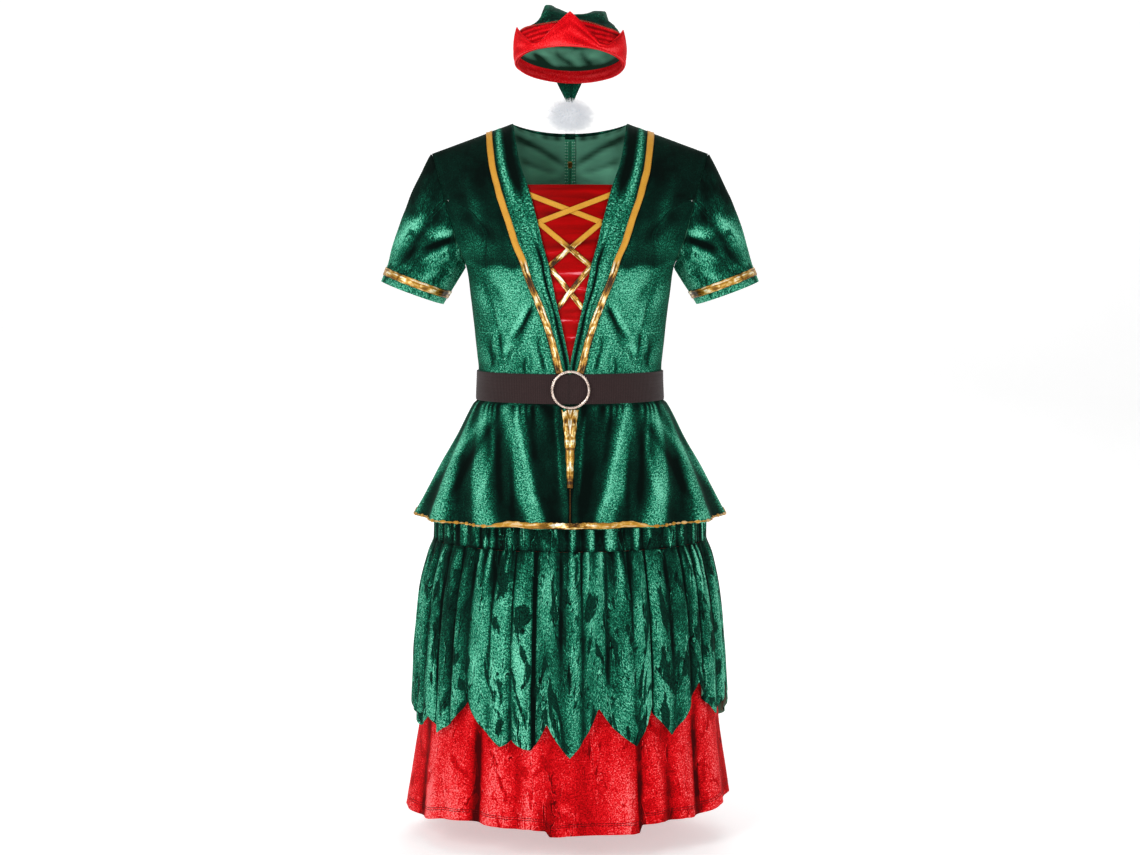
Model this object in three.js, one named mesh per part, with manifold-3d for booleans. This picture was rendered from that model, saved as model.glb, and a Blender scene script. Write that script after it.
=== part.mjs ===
import * as THREE from "three";
import Module from "manifold-3d";

// Elf costume: laced dress with a belt, a flared peplum and a two-layer skirt,
// and its pointed hat. Millimetres, Z up, the front faces -Y. The origin lies
// midway between the two points where the shoulder seams meet the neck.

const wasm = await Module();
wasm.setup();
const { Manifold } = wasm;

const cloth = 1.6;
const thinCloth = 1.2;
const ribbon = 1;
const layer = 0.4;
const seam = 0.3;
const degree = Math.PI / 180;

const group = new THREE.Group();
group.name = "elf_costume";

const looks = {
  greenVelvet: { color: 0x126a4a, roughness: 0.7 },
  redVelvet: { color: 0xc8202a, roughness: 0.75 },
  redSatin: { color: 0xbb0a0c, roughness: 0.4 },
  goldRibbon: { color: 0xc89634, roughness: 0.45, metalness: 0.5 },
  brownElastic: { color: 0x322424, roughness: 0.8 },
  paleMetal: { color: 0xdcc8b8, roughness: 0.3, metalness: 1 },
  zipTape: { color: 0x1c5c42, roughness: 0.85 },
  brass: { color: 0xb08a46, roughness: 0.35, metalness: 1 },
  whiteFur: { color: 0xf2f2ee, roughness: 0.95 },
};

function add(name, geometry, look) {
  const mesh = new THREE.Mesh(geometry, new THREE.MeshStandardMaterial(look));
  mesh.name = name;
  group.add(mesh);
}

const mix = (a, b, t) => a + (b - a) * t;

// Reads a column of a table of rows sorted by a key, smoothly and with no overshoot.
function read(table, key, column, at) {
  const last = table.length - 1;
  const rising = table[last][key] > table[0][key];
  let i = 0;
  while (i < last - 1 && (rising ? at > table[i + 1][key] : at < table[i + 1][key])) {
    i += 1;
  }
  const slope = (j) => {
    const a = table[Math.max(0, Math.min(last - 1, j))];
    const b = table[Math.max(0, Math.min(last - 1, j)) + 1];
    return (b[column] - a[column]) / (b[key] - a[key]);
  };
  const bend = (j) => {
    if (j <= 0 || j >= last) {
      return slope(j <= 0 ? 0 : last - 1);
    }
    const a = slope(j - 1);
    const b = slope(j);
    return a * b > 0 ? (2 * a * b) / (a + b) : 0;
  };
  const width = table[i + 1][key] - table[i][key];
  const t = Math.max(0, Math.min(1, (at - table[i][key]) / width));
  const low = table[i][column];
  const high = table[i + 1][column];
  const left = bend(i) * width;
  const right = bend(i + 1) * width;
  const t2 = t * t;
  const t3 = t2 * t;
  return (
    low * (2 * t3 - 3 * t2 + 1) +
    left * (t3 - 2 * t2 + t) +
    high * (3 * t2 - 2 * t3) +
    right * (t3 - t2)
  );
}

// A closed wall between two skins of one surface. place(u, v) gives a point of the
// surface, us and vs are its grid lines, low and high are how far the skins lie from it.
// A round wall has no ends across u. turned means that place runs the other way round.
function wall(place, us, vs, low, high, { round = false, turned = false, mirror = false } = {}) {
  const nudge = 1e-4;
  const uLow = round ? -Infinity : Math.min(...us);
  const uHigh = round ? Infinity : Math.max(...us);
  const vLow = Math.min(...vs);
  const vHigh = Math.max(...vs);
  const normal = (u, v) => {
    const across = new THREE.Vector3().subVectors(
      place(Math.min(uHigh, u + nudge), v),
      place(Math.max(uLow, u - nudge), v)
    );
    const along = new THREE.Vector3().subVectors(
      place(u, Math.min(vHigh, v + nudge)),
      place(u, Math.max(vLow, v - nudge))
    );
    return across.cross(along).normalize().multiplyScalar(turned ? -1 : 1);
  };
  const points = [];
  const index = (skin, i, j) => (skin * us.length + (i % us.length)) * vs.length + j;
  for (const offset of [high, low]) {
    for (const u of us) {
      for (const v of vs) {
        const p = place(u, v).addScaledVector(normal(u, v), offset);
        points.push(mirror ? -p.x : p.x, p.y, p.z);
      }
    }
  }
  const faces = [];
  const quad = (a, b, c, d) => faces.push(a, b, c, a, c, d);
  const columns = round ? us.length : us.length - 1;
  const rows = vs.length - 1;
  for (let i = 0; i < columns; i += 1) {
    for (let j = 0; j < rows; j += 1) {
      quad(index(0, i, j), index(0, i + 1, j), index(0, i + 1, j + 1), index(0, i, j + 1));
      quad(index(1, i, j), index(1, i, j + 1), index(1, i + 1, j + 1), index(1, i + 1, j));
    }
    quad(index(0, i + 1, 0), index(0, i, 0), index(1, i, 0), index(1, i + 1, 0));
    quad(index(0, i, rows), index(0, i + 1, rows), index(1, i + 1, rows), index(1, i, rows));
  }
  if (!round) {
    for (let j = 0; j < rows; j += 1) {
      quad(index(0, 0, j), index(0, 0, j + 1), index(1, 0, j + 1), index(1, 0, j));
      quad(
        index(0, columns, j + 1),
        index(0, columns, j),
        index(1, columns, j),
        index(1, columns, j + 1)
      );
    }
  }
  if (turned !== mirror) {
    for (let f = 0; f < faces.length; f += 3) {
      [faces[f + 1], faces[f + 2]] = [faces[f + 2], faces[f + 1]];
    }
  }
  const geometry = new THREE.BufferGeometry();
  geometry.setAttribute("position", new THREE.Float32BufferAttribute(points, 3));
  geometry.setIndex(faces);
  geometry.computeVertexNormals();
  return geometry;
}

function fromManifold(solid) {
  const mesh = solid.getMesh();
  const geometry = new THREE.BufferGeometry();
  const count = mesh.numProp;
  const points = [];
  for (let i = 0; i < mesh.vertProperties.length; i += count) {
    points.push(
      mesh.vertProperties[i],
      mesh.vertProperties[i + 1],
      mesh.vertProperties[i + 2]
    );
  }
  geometry.setAttribute("position", new THREE.Float32BufferAttribute(points, 3));
  geometry.setIndex(Array.from(mesh.triVerts));
  geometry.computeVertexNormals();
  return geometry;
}

function toManifold(geometry) {
  return new Manifold(
    new wasm.Mesh({
      numProp: 3,
      vertProperties: geometry.getAttribute("position").array,
      triVerts: new Uint32Array(geometry.index.array),
    })
  );
}

function pair(name, look, make) {
  add(`${name}_left`, make(true), look);
  add(`${name}_right`, make(false), look);
}

const steps = (from, to, count) =>
  Array.from({ length: count + 1 }, (_, i) => mix(from, to, i / count));

// The general figure that the cut follows: half width, and depth before and behind.
const figure = [
  { z: 40, halfWidth: 232, front: 90, back: 84 },
  { z: -45, halfWidth: 215, front: 97, back: 90 },
  { z: -100, halfWidth: 199, front: 107, back: 96 },
  { z: -165, halfWidth: 174, front: 115, back: 97 },
  { z: -204, halfWidth: 148, front: 116, back: 95 },
  { z: -250, halfWidth: 142, front: 110, back: 92 },
  { z: -300, halfWidth: 136, front: 103, back: 89 },
  { z: -352, halfWidth: 131, front: 98, back: 88 },
  { z: -396, halfWidth: 132.5, front: 99, back: 90 },
];
const shoulderRise = 30;
const shoulderSlope = 0.367;
const shoulderRound = 110;

const shoulderHeight = (x) => shoulderRise - shoulderSlope * Math.abs(x);

// How far round the shoulder a drop below it lies, and back again.
function roundOf(drop) {
  return drop < shoulderRound
    ? Math.acos(1 - Math.max(0, drop) / shoulderRound)
    : Math.PI / 2 + (drop - shoulderRound) / shoulderRound;
}
function dropOf(bend) {
  return bend < Math.PI / 2
    ? shoulderRound * (1 - Math.cos(bend))
    : shoulderRound * (1 + bend - Math.PI / 2);
}

// A point of the figure at a turn from the middle, in radians, and a bend round the shoulder.
function onFigure(turn, bend, side) {
  let x = 100 * Math.sin(turn);
  let z = 0;
  for (let i = 0; i < 12; i += 1) {
    z = shoulderHeight(x) - dropOf(bend);
    x = read(figure, "z", "halfWidth", z) * Math.sin(turn);
  }
  const depth = read(figure, "z", side < 0 ? "front" : "back", z);
  const rounding = bend < Math.PI / 2 ? Math.sin(bend) : 1;
  return new THREE.Vector3(x, side * depth * Math.cos(turn) * rounding, z);
}
const turnAt = (x, z) => Math.asin(Math.min(1, x / read(figure, "z", "halfWidth", z)));
const bendAt = (x, z) => Math.max(0.003, roundOf(shoulderHeight(x) - z));

// Lines of the bodice from the waist up to the shoulder: where the collar band begins and
// ends, the middle and the neck line of the back, and the side seam with the armhole above.
const lines = [
  { row: 0, innerX: 0.2, innerZ: -372, outerX: 14, outerZ: -372, neckX: 45, neckZ: -372 },
  { row: 1, innerX: 0.2, innerZ: -346, outerX: 21, outerZ: -346, neckX: 46, neckZ: -340 },
  { row: 2, innerX: 9.5, innerZ: -294, outerX: 34, outerZ: -294, neckX: 48, neckZ: -300 },
  { row: 3, innerX: 18, innerZ: -256, outerX: 48, outerZ: -254, neckX: 50, neckZ: -256 },
  { row: 4, innerX: 29, innerZ: -203, outerX: 67, outerZ: -203, neckX: 56, neckZ: -204 },
  { row: 5, innerX: 44, innerZ: -145, outerX: 87, outerZ: -150, neckX: 64, neckZ: -155 },
  { row: 6, innerX: 58, innerZ: -93, outerX: 104, outerZ: -99, neckX: 72, neckZ: -105 },
  { row: 7, innerX: 72, innerZ: -50, outerX: 114, outerZ: -58, neckX: 79, neckZ: -56 },
  { row: 8, innerX: 82, innerZ: 0, outerX: 120, outerZ: -14, neckX: 82, neckZ: 0 },
];
const sideLine = [
  { row: 0, turn: 90, z: -372 },
  { row: 1, turn: 90, z: -340 },
  { row: 2, turn: 90, z: -300 },
  { row: 3, turn: 90, z: -256 },
  { row: 4, turn: 90, z: -204 },
  { row: 5, turn: 71, z: -178 },
  { row: 6, turn: 65, z: -134 },
  { row: 7, turn: 64, z: -88 },
  { row: 8, turn: 67, z: -42.5 },
];
const backMiddle = [
  { row: 0, z: -372 },
  { row: 4, z: -204 },
  { row: 6, z: -105 },
  { row: 8, z: -10 },
];
const zipHalfGap = 3;

for (const line of lines) {
  line.innerTurn = turnAt(line.innerX, line.innerZ);
  line.innerBend = bendAt(line.innerX, line.innerZ);
  line.outerTurn = turnAt(line.outerX, line.outerZ);
  line.outerBend = bendAt(line.outerX, line.outerZ);
  line.neckTurn = turnAt(line.neckX, line.neckZ);
  line.neckBend = bendAt(line.neckX, line.neckZ);
}
for (const line of sideLine) {
  const halfWidth = read(figure, "z", "halfWidth", line.z);
  line.sideTurn = line.turn * degree - (line.turn === 90 ? 0.15 / halfWidth : 0);
  line.sideBend = bendAt(halfWidth * Math.sin(line.sideTurn), line.z);
}

// Between two edges a row runs level below the armhole, and even round the shoulder above.
function between(a, b, t, row, side) {
  const turn = mix(a.turn, b.turn, t);
  const level = mix(
    onFigure(a.turn, a.bend, side).z,
    onFigure(b.turn, b.bend, side).z,
    t
  );
  const x = read(figure, "z", "halfWidth", level) * Math.sin(turn);
  const share = Math.max(0, Math.min(1, (row - 5) / 2.5));
  return onFigure(turn, mix(bendAt(x, level), mix(a.bend, b.bend, t), share), side);
}
const edge = (table, name, row) => ({
  turn: read(table, "row", `${name}Turn`, row),
  bend: read(table, "row", `${name}Bend`, row),
});

// The front: c runs 0 to 1 over the collar band and 1 to 2 from there to the side.
function frontAt(c, row) {
  const outer = edge(lines, "outer", row);
  return c <= 1
    ? between(edge(lines, "inner", row), outer, c, row, -1)
    : between(outer, edge(sideLine, "side", row), c - 1, row, -1);
}

// The back: c runs 0 to 1 from the zip to the neck line and 1 to 2 from there to the side.
function backAt(c, row) {
  const neckEdge = edge(lines, "neck", row);
  if (c > 1) {
    return between(neckEdge, edge(sideLine, "side", row), c - 1, row, 1);
  }
  const middle = read(backMiddle, "row", "z", row);
  const neck = onFigure(neckEdge.turn, neckEdge.bend, 1);
  const x = mix(zipHalfGap, neck.x, c);
  const z = mix(middle, neck.z, c ** 2.2);
  return onFigure(turnAt(x, z), bendAt(x, z), 1);
}

const armholeRows = [4, 4.35, 4.8, 5.3, 5.9, 6.5, 7, 7.45, 7.8, 8];
const beltRow = 0.79;
const bodiceRows = [0, beltRow, 1.4, 2, 2.7, 3.4, ...armholeRows];

// Collar band, with a soft fold down its length, and the ribbon on its outer edge.
const ribbonWidth = 10.5;
const collarFold = 2.2;
function ribbonStart(row) {
  const inner = frontAt(0, row);
  const outer = frontAt(1, row);
  return 1 - ribbonWidth / Math.max(ribbonWidth * 1.25, inner.distanceTo(outer));
}
function collarAt(c, row) {
  const split = ribbonStart(row);
  const t = c <= 1 ? c * split : mix(split, 1 - seam / 40, c - 1);
  const p = frontAt(t, row);
  const away = new THREE.Vector3(p.x / 3, p.y, 0).normalize();
  const rise = c < 1 ? collarFold * Math.sin(Math.PI * c) ** 2 : 0;
  const fade = Math.min(1, Math.max(0, row - beltRow), (8 - row) * 1.5);
  return p.addScaledVector(away, rise * fade);
}
pair("collar", looks.greenVelvet, (mirror) =>
  wall(collarAt, [0, 0.25, 0.5, 0.75, 1, 2], bodiceRows, 0, cloth + 0.4, { mirror })
);
const ribbonBase = cloth + 0.4 + seam;
pair("collar_ribbon", looks.goldRibbon, (mirror) =>
  wall(collarAt, [1, 2], bodiceRows.slice(1), ribbonBase, ribbonBase + ribbon, { mirror })
);

// Bust seam: how far it lies from the collar to the side, up to the armhole.
const bustSeam = [
  { row: 0, at: 0.45 },
  { row: 4, at: 0.41 },
  { row: 5, at: 0.3 },
  { row: 5.6, at: 0.38 },
  { row: 6.1, at: 0.6 },
  { row: 6.5, at: 0.88 },
];
const bustTop = 6.5;
const seamShare = 0.004;
function centreFrontAt(c, row) {
  const edge = row > bustTop ? 1 : read(bustSeam, "row", "at", row) - seamShare;
  return frontAt(1 + seamShare + c * (edge - seamShare), row);
}
function sideFrontAt(c, row) {
  const edge = read(bustSeam, "row", "at", row) + seamShare;
  return frontAt(1 + mix(edge, 1, c), row);
}
const frontRows = bodiceRows.flatMap((row) => (row === bustTop ? [row, row + 0.04] : [row]));
const sideRows = bodiceRows.flatMap((row) => {
  if (row > bustTop) {
    return [];
  }
  return row === bustTop ? [row - 0.02] : [row];
});
pair("bodice_front", looks.greenVelvet, (mirror) =>
  wall(centreFrontAt, steps(0, 1, 4), frontRows, 0, cloth, { mirror })
);
pair("bodice_side", looks.greenVelvet, (mirror) =>
  wall(sideFrontAt, steps(0, 1, 4), sideRows, 0, cloth, { mirror })
);
pair("bodice_back", looks.greenVelvet, (mirror) =>
  wall(backAt, steps(0, 2, 6), bodiceRows, 0, cloth, {
    mirror,
    turned: true,
  })
);

// Satin insert behind the inner edges of the collar band, down to the point of the V.
const insertTuck = 8;
const insertLevels = steps(-342, -88, 9);
function collarEdgeX(z) {
  let row = 0;
  for (let span = 4, i = 0; i < 30; i += 1, span /= 2) {
    if (frontAt(0, row + span).z < z) {
      row += span;
    }
  }
  return frontAt(0, row).x;
}
function insertAt(c, z) {
  const x = c * (collarEdgeX(z) + insertTuck);
  return onFigure(turnAt(Math.abs(x), z) * Math.sign(c), bendAt(x, z), -1);
}
const insertLift = -(cloth + 1.7);
add(
  "insert",
  wall(insertAt, steps(-1, 1, 8), insertLevels, insertLift, insertLift + thinCloth),
  looks.redSatin
);

// Lacing: two ribbons that zigzag over the insert and cross on its middle.
const laceWidth = 7.5;
const laceHeight = 0.8;
const laceBase = insertLift + thinCloth + 0.6;
const laceSteps = [0, 0.18, 0.33, 0.5, 0.67, 0.82, 1];
const laceTurns = [
  { z: -103, clear: 0.5 },
  { z: -141, clear: 1 },
  { z: -202, clear: 0 },
  { z: -261, clear: -1 },
];
function lacePath(first) {
  return laceTurns.map(({ z, clear }, i) => {
    const side = i % 2 === 0 ? first : -first;
    return { x: side * (collarEdgeX(z) - clear), z };
  });
}
// One leg of a lace, from the collar's edge to the other one, lifted where it crosses.
function laceLeg(a, b, lift, base) {
  const way = b.x > a.x ? 1 : -1;
  const half = laceWidth / 2 / Math.hypot(b.x - a.x, b.z - a.z);
  const place = (t, c) => {
    const x = mix(a.x, b.x, way > 0 ? t : 1 - t) + c * half * way * (a.z - b.z);
    const z = mix(a.z, b.z, way > 0 ? t : 1 - t) + c * half * way * (b.x - a.x);
    const point = onFigure(turnAt(Math.abs(x), z) * Math.sign(x || 1), bendAt(x, z), -1);
    return point.add(new THREE.Vector3(0, -lift * Math.exp(-((x / 14) ** 4)), 0));
  };
  return toManifold(wall(place, laceSteps, [-1, 1], base, base + laceHeight));
}
for (const { name, first, lift } of [
  { name: "lacing_a", first: -1, lift: 0 },
  { name: "lacing_b", first: 1, lift: laceHeight + 0.8 },
]) {
  const path = lacePath(first);
  const legs = [0, 1, 2].map((i) =>
    laceLeg(path[i], path[i + 1], lift, laceBase + (i === 1 ? 0.25 : 0))
  );
  add(name, fromManifold(Manifold.union(legs)), looks.goldRibbon);
}

// Set-in sleeves, from the armhole to a tilted oval hem.
const sleeveHem = { x: 228, z: -241, acrossX: 43.5, acrossZ: 16, deep: 57 };
const sleeveFall = { ribbonTop: 21.5, ribbonFoot: 10 };
const sleeveBulge = 6;
function armholeAt(around) {
  const row = mix(8, 4, Math.abs(around));
  const place = around < 0 ? backAt : frontAt;
  const p = place(2, row);
  const e = 1e-3;
  const across = place(2, row).sub(place(2 - e, row));
  const up = place(2, Math.min(8, row + e)).sub(place(2, Math.max(4, row - e)));
  const normal = across.cross(up).normalize();
  return { p, normal: around < 0 ? normal.negate() : normal };
}
function sleeveAt(around, fall) {
  const { p, normal } = armholeAt(around);
  const angle = Math.PI * around;
  const start = p.clone();
  start.x += seam + 0.1 + cloth * (Math.max(0, normal.x) + Math.max(0, -Math.cos(angle)) * 1.1);
  const hem = new THREE.Vector3(
    sleeveHem.x + sleeveHem.acrossX * Math.cos(angle),
    -sleeveHem.deep * Math.sin(angle),
    sleeveHem.z + sleeveHem.acrossZ * Math.cos(angle)
  );
  const length = start.distanceTo(hem);
  const marks = [0, 1 - sleeveFall.ribbonTop / length, 1 - sleeveFall.ribbonFoot / length, 1];
  const part = Math.min(2, Math.floor(fall));
  const t = mix(marks[part], marks[part + 1], fall - part);
  const out = Math.sin(Math.PI * Math.min(1, t * 1.15)) * sleeveBulge * Math.max(0, Math.cos(angle));
  return start.lerp(hem, t).add(new THREE.Vector3(out, 0, out * 0.3));
}
const sleeveAround = [
  ...armholeRows.map((row) => (8 - row) / 4).reverse(),
  ...armholeRows.slice(1, -1).map((row) => -(8 - row) / 4),
];
const sleeveFalls = [0, 0.3, 0.65, 1, 2, 3];
const tubeWay = { round: true, turned: false };
pair("sleeve", looks.greenVelvet, (mirror) =>
  wall(sleeveAt, sleeveAround, sleeveFalls, 0, cloth, { ...tubeWay, mirror })
);
pair("sleeve_ribbon", looks.goldRibbon, (mirror) =>
  wall(sleeveAt, sleeveAround, [1, 2], cloth + layer, cloth + layer + ribbon, {
    ...tubeWay,
    mirror,
  })
);

// Belt and its ring.
const beltTop = -353;
const beltFoot = -395;
const beltThickness = 2;
const beltLift = cloth + 0.7;
function roundFigure(angle, z) {
  const halfWidth = read(figure, "z", "halfWidth", z);
  const depth = read(figure, "z", Math.cos(angle) > 0 ? "front" : "back", z);
  return new THREE.Vector3(halfWidth * Math.sin(angle), -depth * Math.cos(angle), z);
}
const beltAngles = steps(0, 2 * Math.PI, 64).slice(0, -1);
add(
  "belt",
  wall(roundFigure, beltAngles, [beltFoot, beltTop], beltLift, beltLift + beltThickness, {
    round: true,
  }),
  looks.brownElastic
);

const ringDiameter = 55;
const ringTube = 3.8;
const ringZ = -375;
const ringY = -(read(figure, "z", "front", ringZ) + beltLift + beltThickness + ringTube / 2 + 0.7);
const ring = new THREE.TorusGeometry((ringDiameter - ringTube) / 2, ringTube / 2, 7, 30);
ring.rotateX(Math.PI / 2);
ring.translate(0.7, ringY, ringZ);
add("belt_ring", ring, looks.paleMetal);

// A round of folds: each row is one fold from ridge to ridge, as wide as its degrees, and
// as deep at its head and its hem. u counts folds, so a ridge lies at each whole number.
function foldRound(folds, from) {
  const ridges = [from];
  for (const fold of folds) {
    ridges.push(ridges[ridges.length - 1] + fold.wide);
  }
  return (u) => {
    const i = Math.max(0, Math.min(folds.length - 1, Math.floor(u)));
    const f = u - i;
    const fold = folds[i];
    return {
      angle: mix(ridges[i], ridges[i + 1], f) * degree,
      share: ((1 - Math.cos(2 * Math.PI * f)) / 2) ** (fold.sharp || 1),
      fold,
    };
  };
}
const quarters = (from, to) => steps(from, to, (to - from) * 4);

// Peplum: folds fan out from the belt. hemWide is a fold's width at the hem.
const peplumShape = [
  { z: -372.3, halfWidth: 131.7, front: 98.6, back: 89.2 },
  { z: -395, halfWidth: 132.6, front: 99, back: 90 },
  { z: -403, halfWidth: 139, front: 101.4, back: 93 },
  { z: -450, halfWidth: 164, front: 119, back: 116 },
  { z: -510, halfWidth: 198, front: 144, back: 143 },
  { z: -564, halfWidth: 226, front: 166, back: 165 },
];
const peplumFolds = [
  { wide: 15, hemWide: 32, deep: 12 },
  { wide: 14, hemWide: 27, deep: 13 },
  { wide: 24, hemWide: 21, deep: 12 },
  { wide: 37, hemWide: 10, deep: 5 },
  { wide: 37, hemWide: 10, deep: 5 },
  { wide: 24, hemWide: 21, deep: 12 },
  { wide: 14, hemWide: 27, deep: 13 },
  { wide: 15, hemWide: 32, deep: 12 },
  { wide: 24, hemWide: 28, deep: 11 },
  { wide: 28, hemWide: 24, deep: 12 },
  { wide: 38, hemWide: 38, deep: 9 },
  { wide: 38, hemWide: 38, deep: 9 },
  { wide: 28, hemWide: 24, deep: 12 },
  { wide: 24, hemWide: 28, deep: 11 },
];
const peplumHead = foldRound(peplumFolds, -90);
const peplumHem = foldRound(
  peplumFolds.map((fold) => ({ ...fold, wide: fold.hemWide })),
  -90
);
function peplumAt(u, z) {
  const fall = Math.max(0, Math.min(1, (z + 400) / (-564 + 400)));
  const head = peplumHead(u);
  const hem = peplumHem(u);
  const angle = mix(head.angle, hem.angle, fall ** 0.9);
  const inward = hem.share * hem.fold.deep * fall ** 1.1;
  const halfWidth = read(peplumShape, "z", "halfWidth", z);
  const depth = read(peplumShape, "z", Math.cos(angle) > 0 ? "front" : "back", z);
  const p = new THREE.Vector3(halfWidth * Math.sin(angle), -depth * Math.cos(angle), z);
  return p.addScaledVector(new THREE.Vector3(p.x, p.y, 0).normalize(), -inward);
}
const peplumRows = [-564, -553, -509, -455, -404, -395, -372.3];
const endGap = 0.04;
function trimEnds(list, folds) {
  const out = [...list];
  out[0] += endGap / folds[out[0]].wide;
  out[out.length - 1] -= endGap / folds[Math.ceil(out[out.length - 1]) - 1].wide;
  return out;
}
const peplumColumns = (from, to) => trimEnds(quarters(from, to), peplumFolds);
const peplumPart = (from, to) => wall(peplumAt, peplumColumns(from, to), peplumRows, 0, cloth);
add("peplum_front_left", peplumPart(0, 4), looks.greenVelvet);
add("peplum_front_right", peplumPart(4, 8), looks.greenVelvet);
add("peplum_back", peplumPart(8, 14), looks.greenVelvet);
const hemRibbon = (from, to) =>
  wall(
    peplumAt,
    peplumColumns(from, to),
    [-563.6, -553],
    cloth + seam,
    cloth + seam + ribbon
  );
add("peplum_ribbon_front", hemRibbon(0, 8), looks.goldRibbon);
add("peplum_ribbon_back", hemRibbon(8, 14), looks.goldRibbon);

// Ribbon edges folded down the front opening, wide at the belt and closing to a point.
const frontRibbonTop = 12.6;
const frontRibbonFoot = 2.4;
function frontRibbonAt(c, z) {
  const fall = (z + 404) / (-509 + 404);
  const reach = 0.3 + c * mix(frontRibbonTop, frontRibbonFoot, fall ** 0.8);
  const near = peplumAt(4, z);
  const far = peplumAt(4.25, z);
  return near.lerp(far, reach / near.distanceTo(far));
}
pair("front_ribbon", looks.goldRibbon, (mirror) =>
  wall(
    frontRibbonAt,
    [0, 1],
    [-509, -455, -404],
    cloth + layer,
    cloth + layer + ribbon,
    { mirror }
  )
);

// Skirt: gathered folds, uneven in width and depth, with deeper ones between.
const skirtSeam = -598.8;
const gatherCount = 40;
const deepGathers = [1, 4, 6, 9, 12, 14, 17, 19, 22, 25, 27, 30, 33, 35, 38];
const gathers = Array.from({ length: gatherCount }, (_, i) => ({
  wide: 1 + 0.3 * Math.sin(i * 2.3 + 0.6) + 0.14 * Math.sin(i * 4.1),
  deep: deepGathers.includes(i) ? 8.5 : 3.4 + 1.2 * Math.sin(i * 1.9),
  head: 4.6 + 1.2 * Math.sin(i * 3.3 + 1),
}));
for (const half of [0, 1]) {
  const part = gathers.slice(half * 20, half * 20 + 20);
  const total = part.reduce((sum, fold) => sum + fold.wide, 0);
  part.forEach((fold) => {
    fold.wide *= 180 / total;
  });
}
const gatherRound = foldRound(gathers, -90);

const casingShape = [
  { z: -598, halfWidth: 196.5, depth: 144 },
  { z: -560, halfWidth: 195.5, depth: 142.5 },
  { z: -528, halfWidth: 193, depth: 139.5 },
];
function ovalAt(shape, angle, z, inward) {
  const halfWidth = read(shape, "z", "halfWidth", z);
  const depth = read(shape, "z", "depth", z);
  const p = new THREE.Vector3(halfWidth * Math.sin(angle), -depth * Math.cos(angle), z);
  return p.addScaledVector(new THREE.Vector3(p.x, p.y, 0).normalize(), -inward);
}
function casingAt(u, z) {
  const { angle, share } = gatherRound(u);
  return ovalAt(casingShape, angle, z, share * 2.2);
}
const halves = (from, to) => steps(from, to, (to - from) * 2);
for (const [name, from, to] of [
  ["front", 0, 20],
  ["back", 20, 40],
]) {
  add(
    `skirt_casing_${name}`,
    wall(casingAt, trimEnds(halves(from, to), gathers), [-598, -528], 0, 2.6),
    looks.greenVelvet
  );
}

const overShape = [
  { z: skirtSeam, halfWidth: 197.6, depth: 145 },
  { z: -622, halfWidth: 207, depth: 151 },
  { z: -680, halfWidth: 219, depth: 159 },
  { z: -780, halfWidth: 228, depth: 166 },
  { z: -850, halfWidth: 231, depth: 169 },
  { z: -890, halfWidth: 232, depth: 170 },
];
// The zigzag hem: tips hang low, the notches between them reach up.
const hemPoints = [
  { turn: -90, z: -838 },
  { turn: -78, z: -845 },
  { turn: -68, z: -860.5 },
  { turn: -61, z: -842 },
  { turn: -55, z: -864 },
  { turn: -39, z: -810 },
  { turn: -25, z: -870 },
  { turn: -21, z: -858.5 },
  { turn: -14.5, z: -874 },
  { turn: -8, z: -834 },
  { turn: 0, z: -882.6 },
  { turn: 10, z: -812 },
  { turn: 24, z: -869.5 },
  { turn: 29.6, z: -811 },
  { turn: 39, z: -859 },
  { turn: 53, z: -789 },
  { turn: 65, z: -842 },
  { turn: 78, z: -803 },
  { turn: 90, z: -838 },
  { turn: 103, z: -868 },
  { turn: 117, z: -822 },
  { turn: 132, z: -872 },
  { turn: 146, z: -818 },
  { turn: 160, z: -876 },
  { turn: 172, z: -826 },
  { turn: 184, z: -880 },
  { turn: 197, z: -822 },
  { turn: 211, z: -874 },
  { turn: 224, z: -820 },
  { turn: 238, z: -870 },
  { turn: 252, z: -824 },
  { turn: 262, z: -862 },
  { turn: 270, z: -838 },
];
function hemLevel(angle) {
  const turn = angle / degree;
  let i = 0;
  while (i < hemPoints.length - 2 && turn > hemPoints[i + 1].turn) {
    i += 1;
  }
  const a = hemPoints[i];
  const b = hemPoints[i + 1];
  return mix(a.z, b.z, Math.max(0, Math.min(1, (turn - a.turn) / (b.turn - a.turn))));
}
function overskirtAt(u, rise) {
  const { angle, share, fold } = gatherRound(u);
  const z = mix(hemLevel(angle), skirtSeam, rise);
  const head = Math.min(1, (skirtSeam - z) / 26);
  const fall = Math.min(1, (skirtSeam - z) / 270);
  const inward = share * (0.35 + head * mix(fold.head, fold.deep, fall));
  return ovalAt(overShape, angle, z, inward);
}
const overRows = [0, 0.25, 0.6, 0.9, 1];
for (const [name, from, to] of [
  ["front", 0, 20],
  ["back", 20, 40],
]) {
  add(
    `overskirt_${name}`,
    wall(overskirtAt, trimEnds(quarters(from, to), gathers), overRows, 0, cloth),
    looks.greenVelvet
  );
}

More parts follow.
